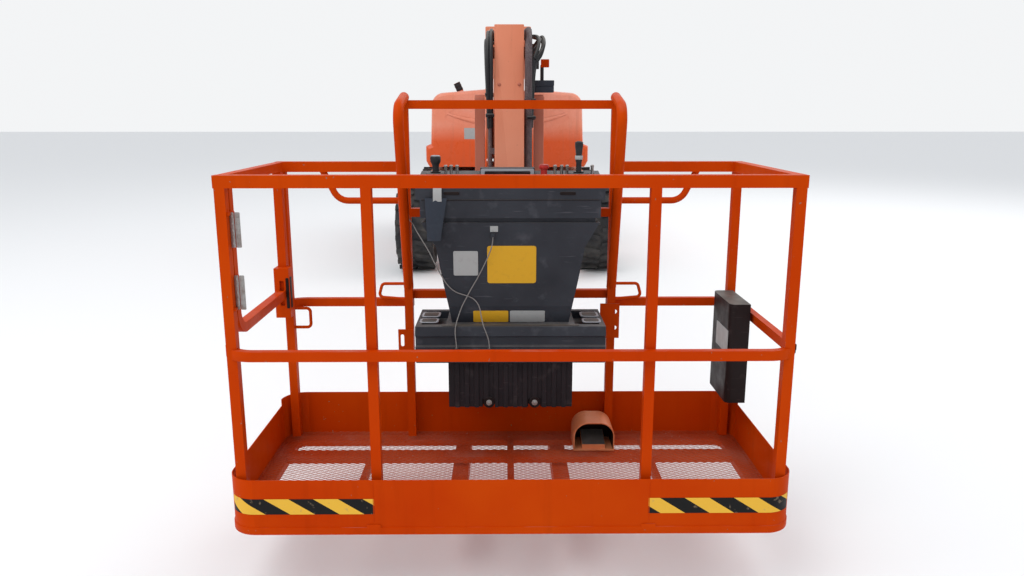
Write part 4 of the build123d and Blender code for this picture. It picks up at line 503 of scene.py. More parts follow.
TAPE = Finish(
    "hazard_tape", "orange_paint", Pattern.TAPE, (0.80, 0.46, 0.050), (0.010, 0.010, 0.010),
    worn=(0.34, 0.25, 0.16), wear=0.4, shine=0.12,
)
RED = Finish(
    "stop_red", "console_plastic", Pattern.MOULDED, (0.42, 0.014, 0.009), (0.36, 0.02, 0.014),
    worn=(0.4, 0.1, 0.08), wear=0.2, rough=(0.3, 0.45), shine=0.3,
)
WHITE_PLATE = Finish(
    "blank_white", "console_plastic", Pattern.PRINT, (0.36, 0.37, 0.365), (0.25, 0.25, 0.245),
    wear=0.4, shine=0.25,
)
YELLOW_PLATE = Finish(
    "blank_yellow", "console_plastic", Pattern.PRINT, (0.66, 0.36, 0.022), (0.50, 0.28, 0.03),
    wear=0.35, rough=(0.35, 0.55), shine=0.15,
)
GREY_FRAME = Finish(
    "display_grey", "console_plastic", Pattern.PRINT, (0.32, 0.33, 0.355), (0.22, 0.23, 0.25),
    rough=(0.35, 0.55), shine=0.3,
)

WHEELS = ("drive_left", "drive_right", "steer_left", "steer_right")

# Which finish each piece of the solid model wears.
DRESSING: tuple[tuple[Finish, tuple[str, ...]], ...] = (
    (ORANGE, ("toe_boards", "platform_rails", "gate", "platform_carrier", "platform_bracket")),
    (PEDAL_HOOD, ("footswitch",)),
    (LINK, ("jib_links",)),
    (SUNNED, ("jib_arm", "base_boom", "fly_boom", "jib_yoke")),
    (SUNNED, ("lift_cyl_barrel", "jib_cyl_barrel", "turntable_frame")),
    (HOOD, ("hood_left", "hood_right")),
    (CHASSIS, ("chassis_frame", "drive_axle", "steer_axle", "knuckle_left", "knuckle_right")),
    (WEIGHT, ("counterweight",)),
    (FLOOR, ("platform_floor",)),
    (WHITE_RIM, tuple(f"rim_{wheel}" for wheel in WHEELS)),
    (TYRE, tuple(f"tyre_{wheel}" for wheel in WHEELS)),
    (CONSOLE, ("console", "console_tray")),
    (JUNCTION, ("junction_box",)),
    (BLACK, ("hose_carrier",)),
    (CASE, ("document_case",)),
    (STEEL, ("slew_ring", "tie_rod", "hood_hinges")),
    (CHROME, ("lift_cyl_rod", "jib_cyl_rod")),
    (IRON, ("engine_block",)),
    (HOSE, ("jib_hoses",)),
    (CORD, ("cord_left", "cord_right")),
)


def dress_nodes(nodes: dict[str, bpy.types.Object]) -> None:
    """Gives every solid of the model its finish.

    Args:
        nodes: The model's objects by name.
    """
    for finish, names in DRESSING:
        for name in names:
            target = nodes[name]
            target.data.materials.clear()
            target.data.materials.append(finish.material())
            LOG.info("dressed %s in %s", name, finish.name)


@dataclass(frozen=True)
class Softening:
    """How far the edges of some solids are rounded, in millimetres."""

    width: float
    names: tuple[str, ...]
    segments: int = 2
    sharp_deg: float = 40.0

    def build(self, nodes: dict[str, bpy.types.Object]) -> None:
        """Adds the modifiers that round the edges.

        Args:
            nodes: The model's objects by name.
        """
        for name in self.names:
            weld = nodes[name].modifiers.new("weld", "WELD")
            weld.merge_threshold = WELD
            edge = nodes[name].modifiers.new("edge", "BEVEL")
            edge.width, edge.segments = self.width * MM, self.segments
            edge.limit_method, edge.angle_limit = "ANGLE", math.radians(self.sharp_deg)
            edge.harden_normals = False
            LOG.info("rounded %s by %.1f mm", name, self.width)


# How round each solid's edges are.
EDGES: tuple[Softening, ...] = (
    Softening(0.8, ("toe_boards", "hood_hinges")),
    Softening(3.5, ("platform_rails", "gate")),
    Softening(2.0, ("footswitch", "platform_bracket", "jib_yoke", "platform_carrier")),
    Softening(3.0, ("junction_box", "console_tray", "hose_carrier", "turntable_frame")),
    Softening(6.0, ("console", "document_case", "jib_arm", "jib_links"), 3),
    Softening(6.0, ("fly_boom", "base_boom"), 3),
    Softening(4.0, ("chassis_frame", "drive_axle", "steer_axle")),
    Softening(14.0, ("counterweight", "engine_block"), 3),
)


def put(name: str, data: bpy.types.ID) -> bpy.types.Object:
    """Makes an object and puts it in the scene.

    Args:
        name: The object's name.
        data: Its mesh, curve, lamp or camera.

    Returns:
        The object.
    """
    made = bpy.data.objects.new(name, data)
    bpy.context.scene.collection.objects.link(made)
    return made


@dataclass(frozen=True)
class Place:
    """A frame of the machine: where a table's millimetres start and how they are turned."""

    origin: Triple
    lean_deg: float = 0.0

    def world(self, points: np.ndarray) -> np.ndarray:
        """Turns table points about X by the lean and moves them to the origin, in metres.

        Args:
            points: Points in millimetres, the last axis x, y, z.

        Returns:
            The same points in metres in the machine's frame.
        """
        cos, sin = math.cos(math.radians(self.lean_deg)), math.sin(math.radians(self.lean_deg))
        x, y, z = np.moveaxis(points, -1, 0)
        turned = np.stack([x, cos * y + sin * z, cos * z - sin * y], -1)
        return turned * MM + np.array(self.origin)


PLATFORM = Place((0.0, PLATFORM_Y, PLATFORM_Z))
GROUND = Place((0.0, 0.0, 0.0))
JIB = Place((0.0, -3.24804, 1.82358), 7.0)


def rounded_loop(width: float, depth: float, radius: float, steps: int = 6) -> np.ndarray:
    """Points round a rectangle with round corners, counter-clockwise.

    Each corner's point is its centre plus radius times (cos t, sin t) over a quarter turn.

    Args:
        width: Size along the first axis.
        depth: Size along the second axis.
        radius: Corner radius.
        steps: Points in each corner.

    Returns:
        An array of points, one row each.
    """
    turn = np.linspace(0, np.pi / 2, steps)[None, :] + np.arange(4)[:, None] * np.pi / 2
    centre_x = (width / 2 - radius) * np.array([1, -1, -1, 1])[:, None]
    centre_y = (depth / 2 - radius) * np.array([1, 1, -1, -1])[:, None]
    x, y = centre_x + radius * np.cos(turn), centre_y + radius * np.sin(turn)
    return np.stack([x.ravel(), y.ravel()], 1)


def smooth_route(stops: tuple[Triple, ...], spacing: float = 8.0) -> np.ndarray:
    """A soft line through a few points, as a hose hangs.

    Each stretch is a cubic whose ends lean along the line between the points before and after.

    Args:
        stops: The points, in millimetres.
        spacing: About how far apart its points are.

    Returns:
        Points along the line, one row each.
    """
    knots = np.array(stops, float)
    lean = np.gradient(knots, axis=0)
    parts = []
    for here, there, start, end in zip(knots, knots[1:], lean, lean[1:]):
        count = max(4, int(np.linalg.norm(there - here) / spacing))
        t = np.linspace(0, 1, count, endpoint=False)[:, None]
        blend = (2 * t**3 - 3 * t**2 + 1, t**3 - 2 * t**2 + t, 3 * t**2 - 2 * t**3, t**3 - t**2)
        parts.append(blend[0] * here + blend[1] * start + blend[2] * there + blend[3] * end)
    return np.concatenate([*parts, knots[-1:]])


@dataclass(frozen=True)
class Form:
    """A form whose rows are rings of points; cap says whether its two ends are filled."""

    cap: bool = field(default=True, kw_only=True)

    def rows(self) -> np.ndarray:
        """Its rings of points in millimetres, shaped (rings, points, 3)."""
        raise NotImplementedError


@dataclass(frozen=True)
class Block(Form):
    """A block with round corners along its axis and round rims at both ends."""

    at: Triple
    size: Triple
    corner: float
    edge: float = 1.5
    axis: Axis = Axis.Z

    def rows(self) -> np.ndarray:
        """One loop at eight heights, drawn in at both ends along a quarter circle.

        At t of that quarter turn the loop is drawn in by edge times (1 - sin t), and lies
        edge times (1 - cos t) short of the block's end.

        Returns:
            The loops, from one end to the other.
        """
        order = list(self.axis.value)
        span = np.array(self.size, float)[order]
        turn = np.linspace(0, np.pi / 2, 4)
        inset = self.edge * (1 - np.sin(turn))
        height = span[2] / 2 - self.edge * (1 - np.cos(turn))
        insets = np.concatenate([inset, inset[::-1]])[:, None, None]
        heights = np.concatenate([-height, height[::-1]])[:, None]
        radius = min(self.corner, span[0] / 2, span[1] / 2) - CORNER_GAP
        loop = rounded_loop(span[0], span[1], radius)
        rows = np.zeros((len(heights), len(loop), 3))
        rows[..., order[:2]] = loop * (1 - insets / (span[:2] / 2))
        rows[..., order[2]] = heights
        return rows + np.array(self.at)


@dataclass(frozen=True)
class Turned(Form):
    """A turned form: each row of its profile is a circle of that radius at that height."""

    at: Triple
    profile: Profile | np.ndarray
    axis: Axis = Axis.Z
    steps: int = 32

    def rows(self) -> np.ndarray:
        """A circle of points (radius cos t, radius sin t) at each height of the profile.

        Returns:
            The circles, in the profile's order.
        """
        order = self.axis.value
        radius, height = np.hsplit(np.array(self.profile, float), 2)
        turn = np.linspace(0, 2 * np.pi, self.steps, endpoint=False)
        rows = np.zeros((len(radius), self.steps, 3))
        rows[..., order[0]] = radius * np.cos(turn)
        rows[..., order[1]] = radius * np.sin(turn)
        rows[..., order[2]] = height
        return rows + np.array(self.at)


@dataclass(frozen=True)
class Tube(Form):
    """A round tube along a soft line through its stops."""

    stops: tuple[Triple, ...]
    across: float
    steps: int = 14

    def rows(self) -> np.ndarray:
        """A circle round each point of the line, across the line's direction there.

        The direction is the difference of the points before and after it. The circle's point
        is half the diameter times (cos t, sin t) along two vectors across that direction.

        Returns:
            The circles, from the first stop to the last.
        """
        route = smooth_route(self.stops)
        ahead = np.gradient(route, axis=0)
        ahead /= np.linalg.norm(ahead, axis=1, keepdims=True)
        side = np.cross(ahead, np.array(RING_START))
        side /= np.linalg.norm(side, axis=1, keepdims=True)
        other = np.cross(ahead, side)
        turn = np.linspace(0, 2 * np.pi, self.steps, endpoint=False)[None, :, None]
        ring = (np.cos(turn) * side[:, None] + np.sin(turn) * other[:, None]) * self.across / 2
        return route[:, None] + ring


@dataclass
class Shell:
    """A piece's mesh, gathered from surfaces that are worked out as whole arrays."""

    place: Place = PLATFORM
    points: list[np.ndarray] = field(default_factory=list)
    faces: list[list[int]] = field(default_factory=list)
    maps: list[np.ndarray] = field(default_factory=list)
    count: int = 0

    def grid(
        self, rows: np.ndarray, ring: bool = False, cap: bool = False, uv: np.ndarray | None = None
    ) -> "Shell":
        """Adds quads between the neighbours of a grid of points.

        Args:
            rows: Points on a grid, shaped (rows, columns, 3), or a stack of such grids.
            ring: Whether each row closes on itself.
            cap: Whether the first and last rows of a single grid are filled.
            uv: Map coordinates of the same grid.

        Returns:
            The shell itself.
        """
        total = rows.size // 3
        number = self.count + np.arange(total).reshape(rows.shape[:-1])
        if cap:
            self.faces += [number[0, ::-1].tolist(), number[-1].tolist()]
        if ring:
            number = np.concatenate([number, number[..., :1]], -1)
        above, below = number[..., :-1, :], number[..., 1:, :]
        quads = np.stack([above[..., :-1], above[..., 1:], below[..., 1:], below[..., :-1]], -1)
        self.points.append(self.place.world(rows.reshape(-1, 3)))
        self.faces += quads.reshape(-1, 4).tolist()
        self.maps.append(np.zeros((total, 2)) if uv is None else uv.reshape(-1, 2))
        self.count += total
        return self

    def add(self, *forms: Form) -> "Shell":
        """Adds forms, each on its own.

        Args:
            forms: The forms.

        Returns:
            The shell itself.
        """
        for form in forms:
            self.grid(form.rows(), ring=True, cap=form.cap)
        return self

    def sheet(self, front: np.ndarray, thick: float) -> "Shell":
        """Adds a thin sheet's front and, behind it, its back.

        Args:
            front: The front's grid of points.
            thick: How far behind it the back lies.

        Returns:
            The shell itself.
        """
        return self.grid(front).grid((front + [0, thick, 0])[:, ::-1])

    def piece(
        self, name: str, finish: Finish, body: str = "platform", smooth: bool = True,
        stands_for: tuple[str, ...] = (), sharp_deg: float = 38.0,
    ) -> bpy.types.Object:
        """Makes the object, gives it its finish and sets it on its body.

        Args:
            name: The piece's name.
            finish: Its finish.
            body: The moving body it rides on.
            smooth: Whether faces that meet at a small angle shade as one.
            stands_for: Solids of the model that it replaces.
            sharp_deg: The angle from which an edge stays sharp.

        Returns:
            The finished object.
        """
        mesh = bpy.data.meshes.new(name)
        mesh.from_pydata(np.concatenate(self.points).tolist(), [], self.faces)
        layer = mesh.uv_layers.new(name="UVMap")
        corners = np.concatenate([np.array(face) for face in self.faces])
        layer.data.foreach_set("uv", np.concatenate(self.maps)[corners].ravel())
        if smooth:
            mesh.shade_smooth()
            mesh.set_sharp_from_angle(angle=math.radians(sharp_deg))
        mesh.materials.append(finish.material())
        made = put(name, mesh)
        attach(made, body)
        if stands_for:
            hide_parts(*stands_for)
        LOG.info("made %s: %d faces on %s", name, len(self.faces), body)
        return made


@dataclass(frozen=True)
class Fitting:
    """One piece that is made of forms."""

    name: str
    finish: Finish
    forms: tuple[Form, ...]
    body: str = "platform"
    place: Place = PLATFORM
    smooth: bool = True

    def build(self) -> None:
        """Makes the piece."""
        Shell(self.place).add(*self.forms).piece(self.name, self.finish, self.body, self.smooth)


@dataclass(frozen=True)
class HazardBands:
    """Striped tape on the toe board's two front corners, just proud of the sheet.

    Wrap is the share of the corner's arc that it covers, pitch a stripe pair's length, slant
    how steeply the stripes lean, and starts where each tape begins in the pattern.
    """

    half_width: float = 912.0
    front: float = 3.0
    corner: float = 87.0
    low: float = 71.0
    high: float = 124.0
    inner: float = 440.0
    wrap: float = 0.62
    proud: float = 0.8
    pitch: float = 158.0
    slant: float = 1.56
    starts: tuple[float, float] = (0.55, 0.50)
    straight_steps: int = 12
    arc_steps: int = 14

    def strip(self, side: int) -> np.ndarray:
        """The tape's line in plan: straight, then round the corner's arc.

        Args:
            side: -1 left, 1 right.

        Returns:
            Plan points, one row each.
        """
        radius, end = self.corner + self.proud, self.half_width - self.corner
        along = np.linspace(self.inner, end, self.straight_steps)
        straight = np.stack([along, np.full(self.straight_steps, -self.proud)], 1)
        turn = np.linspace(0, self.wrap * np.pi / 2, self.arc_steps)[1:]
        arc = np.stack([end + radius * np.sin(turn), self.corner - radius * np.cos(turn)], 1)
        return np.concatenate([straight, arc]) * [side, 1]

    def build(self) -> None:
        """Lays both tapes: two rows of points, with the way along the line as their map."""
        for side, name, start in zip((-1, 1), ("left", "right"), self.starts):
            line = self.strip(side)
            way = np.cumsum(np.linalg.norm(np.diff(line, axis=0), axis=1))
            along = np.concatenate([[0], way]) / self.pitch + start
            level = np.array([[self.low], [self.high]])
            up = side * (level - self.low) / self.pitch * self.slant
            rows = np.stack(np.broadcast_arrays(line[:, 0], line[:, 1] + self.front, level), -1)
            flat = np.stack(np.broadcast_arrays(along, up), -1)
            shell = Shell().grid(rows[:, ::side], uv=flat[:, ::side])
            shell.piece(f"hazard_tape_{name}", TAPE, smooth=False)


@dataclass(frozen=True)
class MeshFloor:
    """The platform's floor of expanded metal: zigzag strands that touch at every other bend."""

    width: float = 1818.0
    depth: float = 748.0
    middle: float = 380.0
    corner: float = 84.0
    top: float = 45.0
    thick: float = 1.5
    strand: float = 1.9
    twist: float = 0.6
    long_way: float = 31.0
    short_way: float = 13.5

    def build(self) -> None:
        """Makes all the strands in one piece.

        Strand j runs along x at y = j times half the short way, and swings by up to half of
        that less its own width, up at even bends and down at odd ones, the next strand the
        other way round. Its ends are cut to the floor's rounded outline. Each strand is a
        square bar that is tipped by the twist, one way at a bend and the other way at the next.
        """
        lines = np.arange(int(self.depth / self.short_way * 2) - 1)[:, None]
        bends = np.arange(int(self.width / self.long_way * 2) + 2)
        swing = (-1.0) ** (lines + bends)
        away = (lines - lines.mean()) * self.short_way / 2
        y = self.middle + away + swing * (self.short_way / 2 - self.strand) / 2
        past = np.abs(y - self.middle) - (self.depth / 2 - self.corner)
        beyond = np.clip(past, 0, self.corner)
        reach = self.width / 2 - self.corner + np.sqrt(self.corner**2 - beyond**2)
        x = np.clip((bends - bends.mean()) * self.long_way / 2, -reach, reach)
        half, tall = self.strand / 2, self.thick - self.twist
        across, up = np.array([[-half, 0.0], [half, 0.0], [half, tall], [-half, tall]]).T
        tipped = swing[..., None] * self.twist / 2 * np.sign(across)
        z = self.top - self.thick + self.twist / 2 + up + tipped
        bars = np.stack(np.broadcast_arrays(x[..., None], y[..., None] + across, z), -1)
        shell = Shell().grid(bars, ring=True)
        shell.piece("mesh_floor", FLOOR, smooth=False, stands_for=("platform_floor",))


@dataclass(frozen=True)
class HangingCord:
    """A thin cord in front of the console, on a smooth line through its own route's points."""

    name: str
    points: tuple[tuple[int, int, int], ...]
    length: float
    diameter: float = 0.004
    order: int = 3
    round_steps: int = 3
    line_steps: int = 8

    def build(self) -> None:
        route = PLATFORM.world(np.array(self.points, float))
        curve = bpy.data.curves.new(self.name, "CURVE")
        curve.dimensions = "3D"
        curve.bevel_depth, curve.bevel_resolution = self.diameter / 2, self.round_steps
        curve.use_fill_caps = True
        line = curve.splines.new("NURBS")
        line.points.add(len(route) - 1)
        line.points.foreach_set("co", np.concatenate([route, np.ones((len(route), 1))], 1).ravel())
        line.order_u, line.resolution_u = self.order, self.line_steps
        line.use_endpoint_u = True
        curve.materials.append(CORD.material())
        made = put(f"{self.name}_line", curve)
        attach(made, "platform")
        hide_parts(self.name)
        LOG.info("hung %s, %.3f m", self.name, self.length)


CORDS = (
    HangingCord(
        "cord_left",
        (
            (-384, 698, 930), (-383, 676, 930), (-368, 648, 922), (-352, 608, 903),
            (-334, 568, 885), (-314, 530, 864), (-293, 494, 840), (-272, 464, 804),
            (-250, 460, 762), (-228, 465, 722), (-199, 467, 695), (-164, 470, 684),
            (-131, 468, 671), (-112, 460, 645), (-106, 446, 613), (-99, 430, 582),
            (-86, 422, 552), (-77, 420, 523), (-76, 420, 497),
        ),
        0.692,
    ),
    HangingCord(
        "cord_right",
        (
            (-62, 444, 900), (-63, 444, 875), (-74, 449, 843), (-88, 453, 809), (-105, 456, 775),
            (-122, 459, 742), (-142, 460, 709), (-159, 462, 676), (-176, 463, 644),
            (-188, 456, 611), (-198, 439, 581), (-200, 424, 552), (-196, 420, 524),
            (-195, 420, 498),
        ),
        0.441,
    ),
)

# Height and depth of the console's sloping front, from its foot to its lid.
FUNNEL: Profile = ((575, 500), (640, 480), (735, 470), (860, 460), (950, 450), (966, 450))


@dataclass(frozen=True)
class Label:
    """A blank plate that lies on the console's front, its rim sunk into it."""

    name: str
    finish: Finish
    left: float
    right: float
    low: float
    high: float
    proud: float = 1.6
    sunk: float = 0.5
    bevel: float = 0.4
    shrink: float = 0.985
    corner: float = 0.06

    def build(self) -> None:
        """Bends the plate to the front: each point lies as deep as the front at its height."""
        loop = rounded_loop(1.0, 1.0, self.corner)
        scale = np.array([[1.0], [1.0], [self.shrink]])
        proud = np.array([[-self.sunk], [self.proud - self.bevel], [self.proud]])
        x = (self.left + self.right) / 2 + (self.right - self.left) * loop[:, 0] * scale
        z = (self.low + self.high) / 2 + (self.high - self.low) * loop[:, 1] * scale
        rows = np.stack([x, np.interp(z, *np.transpose(FUNNEL)) - proud, z], -1)
        Shell().grid(rows, ring=True, cap=True).piece(self.name, self.finish, smooth=False)


LABELS = (
    Label("plate_white_square", WHITE_PLATE, -204, -116, 757, 847),
    Label("plate_yellow_wide", YELLOW_PLATE, -83, 92, 728, 866),
    Label("plate_white_tag", WHITE_PLATE, -72, -44, 917, 938),
    Label("plate_yellow_low", YELLOW_PLATE, -136, -8, 576, 622),
    Label("plate_white_low", WHITE_PLATE, -2, 126, 576, 622),
)


@dataclass(frozen=True)
class ControlPanel:
    """What stands on the console: boots, levers, stop button, switches, display and seams.

    Profiles are rows of radius and height above the platform's foot.
    """

    lid_front: float = 450.0
    lid_height: float = 1075.0
    slope: float = 40.0 / 240.0
    left_at: Triple = (-269, 560, 0)
    right_at: Triple = (247, 560, 0)
    stop_at: Triple = (122, 570, 0)
    switches_y: float = 600.0
    switches_x: tuple[float, ...] = (-236, -216, -194, 164, 188, 208, 300)
    boot_foot: float = 36.0
    boot_taper: float = 18.0
    boot_rib: float = 2.2
    boot_ribs: int = 4
    boot_height: float = 34.0
    boot_sunk: float = 6.0
    left_lever: Profile = (
        (12, 1110), (12, 1141), (14, 1148), (18.6, 1156), (19.4, 1166), (18.8, 1173),
        (15, 1177.5), (7, 1178.5),
    )
    right_lever: Profile = (
        (10, 1110), (10, 1152), (12, 1160), (11.2, 1178), (12.6, 1196), (15, 1212),
        (14.4, 1224), (8, 1229),
    )
    knob_ring: Profile = ((16.6, 1174.6), (17.6, 1176.6), (15, 1178.4), (12, 1179.2))
    grip_band: Profile = ((13.4, 1164), (14.2, 1166), (14.2, 1176), (13.4, 1178))
    stop_button: Profile = (
        (12, 1100), (12, 1129), (17.4, 1131), (18.4, 1135), (18.2, 1141), (15, 1145.4), (6, 1147),
    )
    stop_collar: Profile = ((26, 1086), (26, 1100), (22, 1104), (13, 1105))

    def top(self, y: float) -> float:
        """Height of the lid at a depth."""
        return self.lid_height + (y - self.lid_front) * self.slope

    def boot(self) -> np.ndarray:
        """A rubber boot's profile: it narrows evenly upwards, plus a wave for each rib.

        Returns:
            Rows of radius and height.
        """
        up = np.linspace(0, 1, 4 * self.boot_ribs + 1)
        wave = self.boot_rib * np.cos(up * 2 * self.boot_ribs * np.pi)
        foot = self.top(self.left_at[1]) - self.boot_sunk
        return np.stack(
            [self.boot_foot - self.boot_taper * up + wave, foot + up * self.boot_height], 1
        )

    def levers(self) -> tuple[Fitting, ...]:
        """The two levers in their boots, and the stop button in its collar.

        Returns:
            The turned pieces.
        """
        boot = self.boot()
        table = (
            ("boot_left", BLACK, self.left_at, boot),
            ("lever_left", BLACK, self.left_at, self.left_lever),
            ("boot_right", BLACK, self.right_at, boot),
            ("lever_right", BLACK, self.right_at, self.right_lever),
            ("knob_ring", GREY_FRAME, self.left_at, self.knob_ring),
            ("grip_band", WHITE_PLATE, self.right_at, self.grip_band),
            ("stop_button", RED, self.stop_at, self.stop_button),
            ("stop_collar", YELLOW_PLATE, self.stop_at, self.stop_collar),
        )
        return tuple(Fitting(name, finish, (Turned(at, form),)) for name, finish, at, form in table)

    def switches(self) -> tuple[Fitting, ...]:
        """The toggle switches: a lever and a collar each.

        Returns:
            All the levers and all the collars.
        """
        foot = self.top(self.switches_y) - 4
        lever = ((5.6, foot), (5.6, 1133), (6.8, 1136), (6.8, 1140), (4, 1142.4))
        collar = ((9.5, foot), (9.5, foot + 8), (7, foot + 12), (5, foot + 12))
        levers, collars = (
            tuple(Turned((x, self.switches_y, 0), form, steps=12) for x in self.switches_x)
            for form in (lever, collar)
        )
        return Fitting("toggle_levers", STEEL, levers), Fitting("toggle_collars", BLACK, collars)

    def lid(self) -> tuple[Fitting, ...]:
        """The display in its frame, the lid's seam and two dark plates of painted shade in its
        finger recesses.

        Returns:
            The pieces on the lid.
        """
        frame = Block((-10, 608.8, 1106), (196, 3, 44), 6, 0.8, Axis.Y)
        glass = Block((-10, 606.8, 1104), (168, 2.4, 30), 4, 0.6, Axis.Y)
        # Dark plates on the lid's front: painted shade in its two finger recesses.
        recesses = tuple(
            Block((x, 449.4, 1053), (56, 3.4, 11), 5, 0.8, Axis.Y) for x in (-206, 201)
        )
        return (
            Fitting("display_frame", GREY_FRAME, (frame,)),
            Fitting("display_glass", CASE, (glass,)),
            Fitting("lid_seam", CASE, (Block((0, 574, 1030), (640, 252, 3), 14, 1.0),)),
            Fitting("lid_recess_painted_shade", CASE, recesses),
        )

    def tray(self) -> tuple[Fitting, ...]:
        """The tray's pockets at each end, pale rim plates that are a painted highlight of glossy
        black rims round dark wells of painted shade, and its groove, dark with painted shade.

        Returns:
            The pieces on the tray.
        """
        ends = [(side * 300, y, deep) for side in (-1, 1) for y, deep in ((520, 62), (610, 74))]
        # The rims' pale grey is a painted highlight; the wells and the groove are dark as painted
        # shade.
        rims = tuple(Block((x, y, 575.8), (70, deep, 3.4), 16, 1.2) for x, y, deep in ends)
        wells = tuple(Block((x, y, 577.0), (54, deep - 15, 2.2), 12, 0.8) for x, y, deep in ends)
        return (
            Fitting("tray_rims_painted_highlight", GREY_FRAME, rims),
            Fitting("tray_wells_painted_shade", CASE, wells),
            Fitting("tray_groove_painted_shade", CASE, (Block((0, 455, 575.6), (500, 26, 2.4), 8, 0.8),)),
        )

    def notches(self) -> tuple[Fitting, ...]:
        """The junction box's two round notches at its foot, each a dark disc of painted shade with
        a washered screw.

        Returns:
            The discs of painted shade and the screws.
        """
        # The wells are dark discs, painted shade in the notches.
        well = ((17, 472.6), (21, 473.2), (21, 477))
        screw = ((4, 467.4), (6, 468), (6, 471), (11, 471.6), (11, 474))
        spots = [(x, 0, 272) for x in (-80, 90)]
        return (
            Fitting("notch_painted_shade", CASE, tuple(Turned(at, well, Axis.Y) for at in spots)),
            Fitting("notch_screws", STEEL, tuple(Turned(at, screw, Axis.Y, 18) for at in spots)),
        )

    def build(self) -> None:
        """Makes every control."""
        for group in (self.levers, self.switches, self.lid, self.tray, self.notches):
            for fitting in group():
                fitting.build()


@dataclass(frozen=True)
class HangingSheet:
    """A thin sheet that hangs from the console's lid.

    Foot is the middle of its lower edge and half its half width there. Upwards it widens and
    shifts sideways, bows forwards, and leans back by the cube of the height.
    """

    name: str
    finish: Finish
    foot: Triple
    height: float
    half: float
    thick: float
    cells: tuple[int, int]
    widen: float = 0.0
    shift: float = 0.0
    bow_across: float = 0.0
    bow_up: float = 0.0
    lean: float = 0.0

    def build(self) -> None:
        """Makes the sheet's front and back as two grids."""
        across, up = np.meshgrid(
            np.linspace(-1, 1, self.cells[0] + 1), np.linspace(0, 1, self.cells[1] + 1)
        )
        x = self.shift * up + (self.half + self.widen * up) * across
        bow = self.bow_across * (1 - across**2) + self.bow_up * np.sin(up * np.pi)
        front = np.stack([x, self.lean * up**3 - bow, self.height * up], -1) + np.array(self.foot)
        Shell().sheet(front, self.thick).piece(self.name, self.finish)


SHEETS = (
    HangingSheet(
        "hanging_card", CARD, (-270.0, 440.0, 887.0), 151.0, 23.0, 1.4, (12, 14),
        widen=15.5, shift=9.5, bow_across=5.0, bow_up=3.0,
    ),
    HangingSheet(
        "card_strap", WHITE_PLATE, (-255.0, 434.5, 1026.0), 54.0, 15.0, 1.2, (4, 6), lean=11.0,
    ),
)


@dataclass(frozen=True)
class GateHardware:
    """Leaf hinges of the gate and its post, dark plates of painted shade in the latch's slot, case
    label, clip and seams.
    """

    leaf_z: tuple[float, ...] = (788, 982)
    bolt_steps: tuple[float, ...] = (-42, -21, 0, 21, 42)
    bolt: Profile = ((1.5, 52.5), (3.4, 52.8), (4.4, 53.6), (4.4, 55.6))

    def hinge(self, name: str, body: str, middle: float, wide: float) -> tuple[Fitting, ...]:
        """One side of both hinges: its leaves and their bolts.

        Args:
            name: Which side it is.
            body: The body it is bolted to.
            middle: The leaf's middle across the platform.
            wide: The leaf's width.

        Returns:
            The leaves and the bolts.
        """
        leaves = tuple(
            Block((middle, 56.6, z), (wide, 2.4, 108), 3, 0.6, Axis.Y) for z in self.leaf_z
        )
        bolts = tuple(
            Turned((middle + 1, 0, z + up), self.bolt, Axis.Y, 10)
            for z in self.leaf_z for up in self.bolt_steps
        )
        return (
            Fitting(f"hinge_leaves_{name}", STEEL, leaves, body),
            Fitting(f"hinge_bolts_{name}", STEEL, bolts, body, smooth=False),
        )

    def build(self) -> None:
        """Makes the hinges' leaves and the small fittings of the rails."""
        # Dark plates at the latch: painted shade in its slot.
        slot = (
            Block((-843, 611.6, 660), (12, 2.0, 118), 4, 0.6, Axis.Y),
            Block((-835.4, 634, 660), (2.0, 22, 120), 4, 0.6, Axis.X),
        )
        clip = (
            Block((884, 62, 613), (14, 42, 22), 4, 1.5, Axis.Y),
            Block((872, 44, 608), (34, 8, 30), 4, 1.5, Axis.Y),
        )
        seams = []
        for x in (-442, 442):
            seams.append(Block((x, 2.6, 112), (2.4, 1.6, 140), 0.8, 0.4))
            seams.append(Block((x, 1.0, 22), (46, 3.0, 26), 4, 1.0, Axis.Y))
        label = Block((793.2, 534, 508), (1.8, 156, 88), 4, 0.5, Axis.X)
        for fitting in (
            *self.hinge("post", "platform", -843.0, 13.0),
            *self.hinge("gate", "gate", -826.5, 16.0),
            Fitting("latch_slot_painted_shade", CASE, slot, "gate"),
            Fitting("case_label", WHITE_PLATE, (label,)),
            Fitting("ring_clip", CASE, clip),
            Fitting("toe_seams", ORANGE, tuple(seams)),
        ):
            fitting.build()


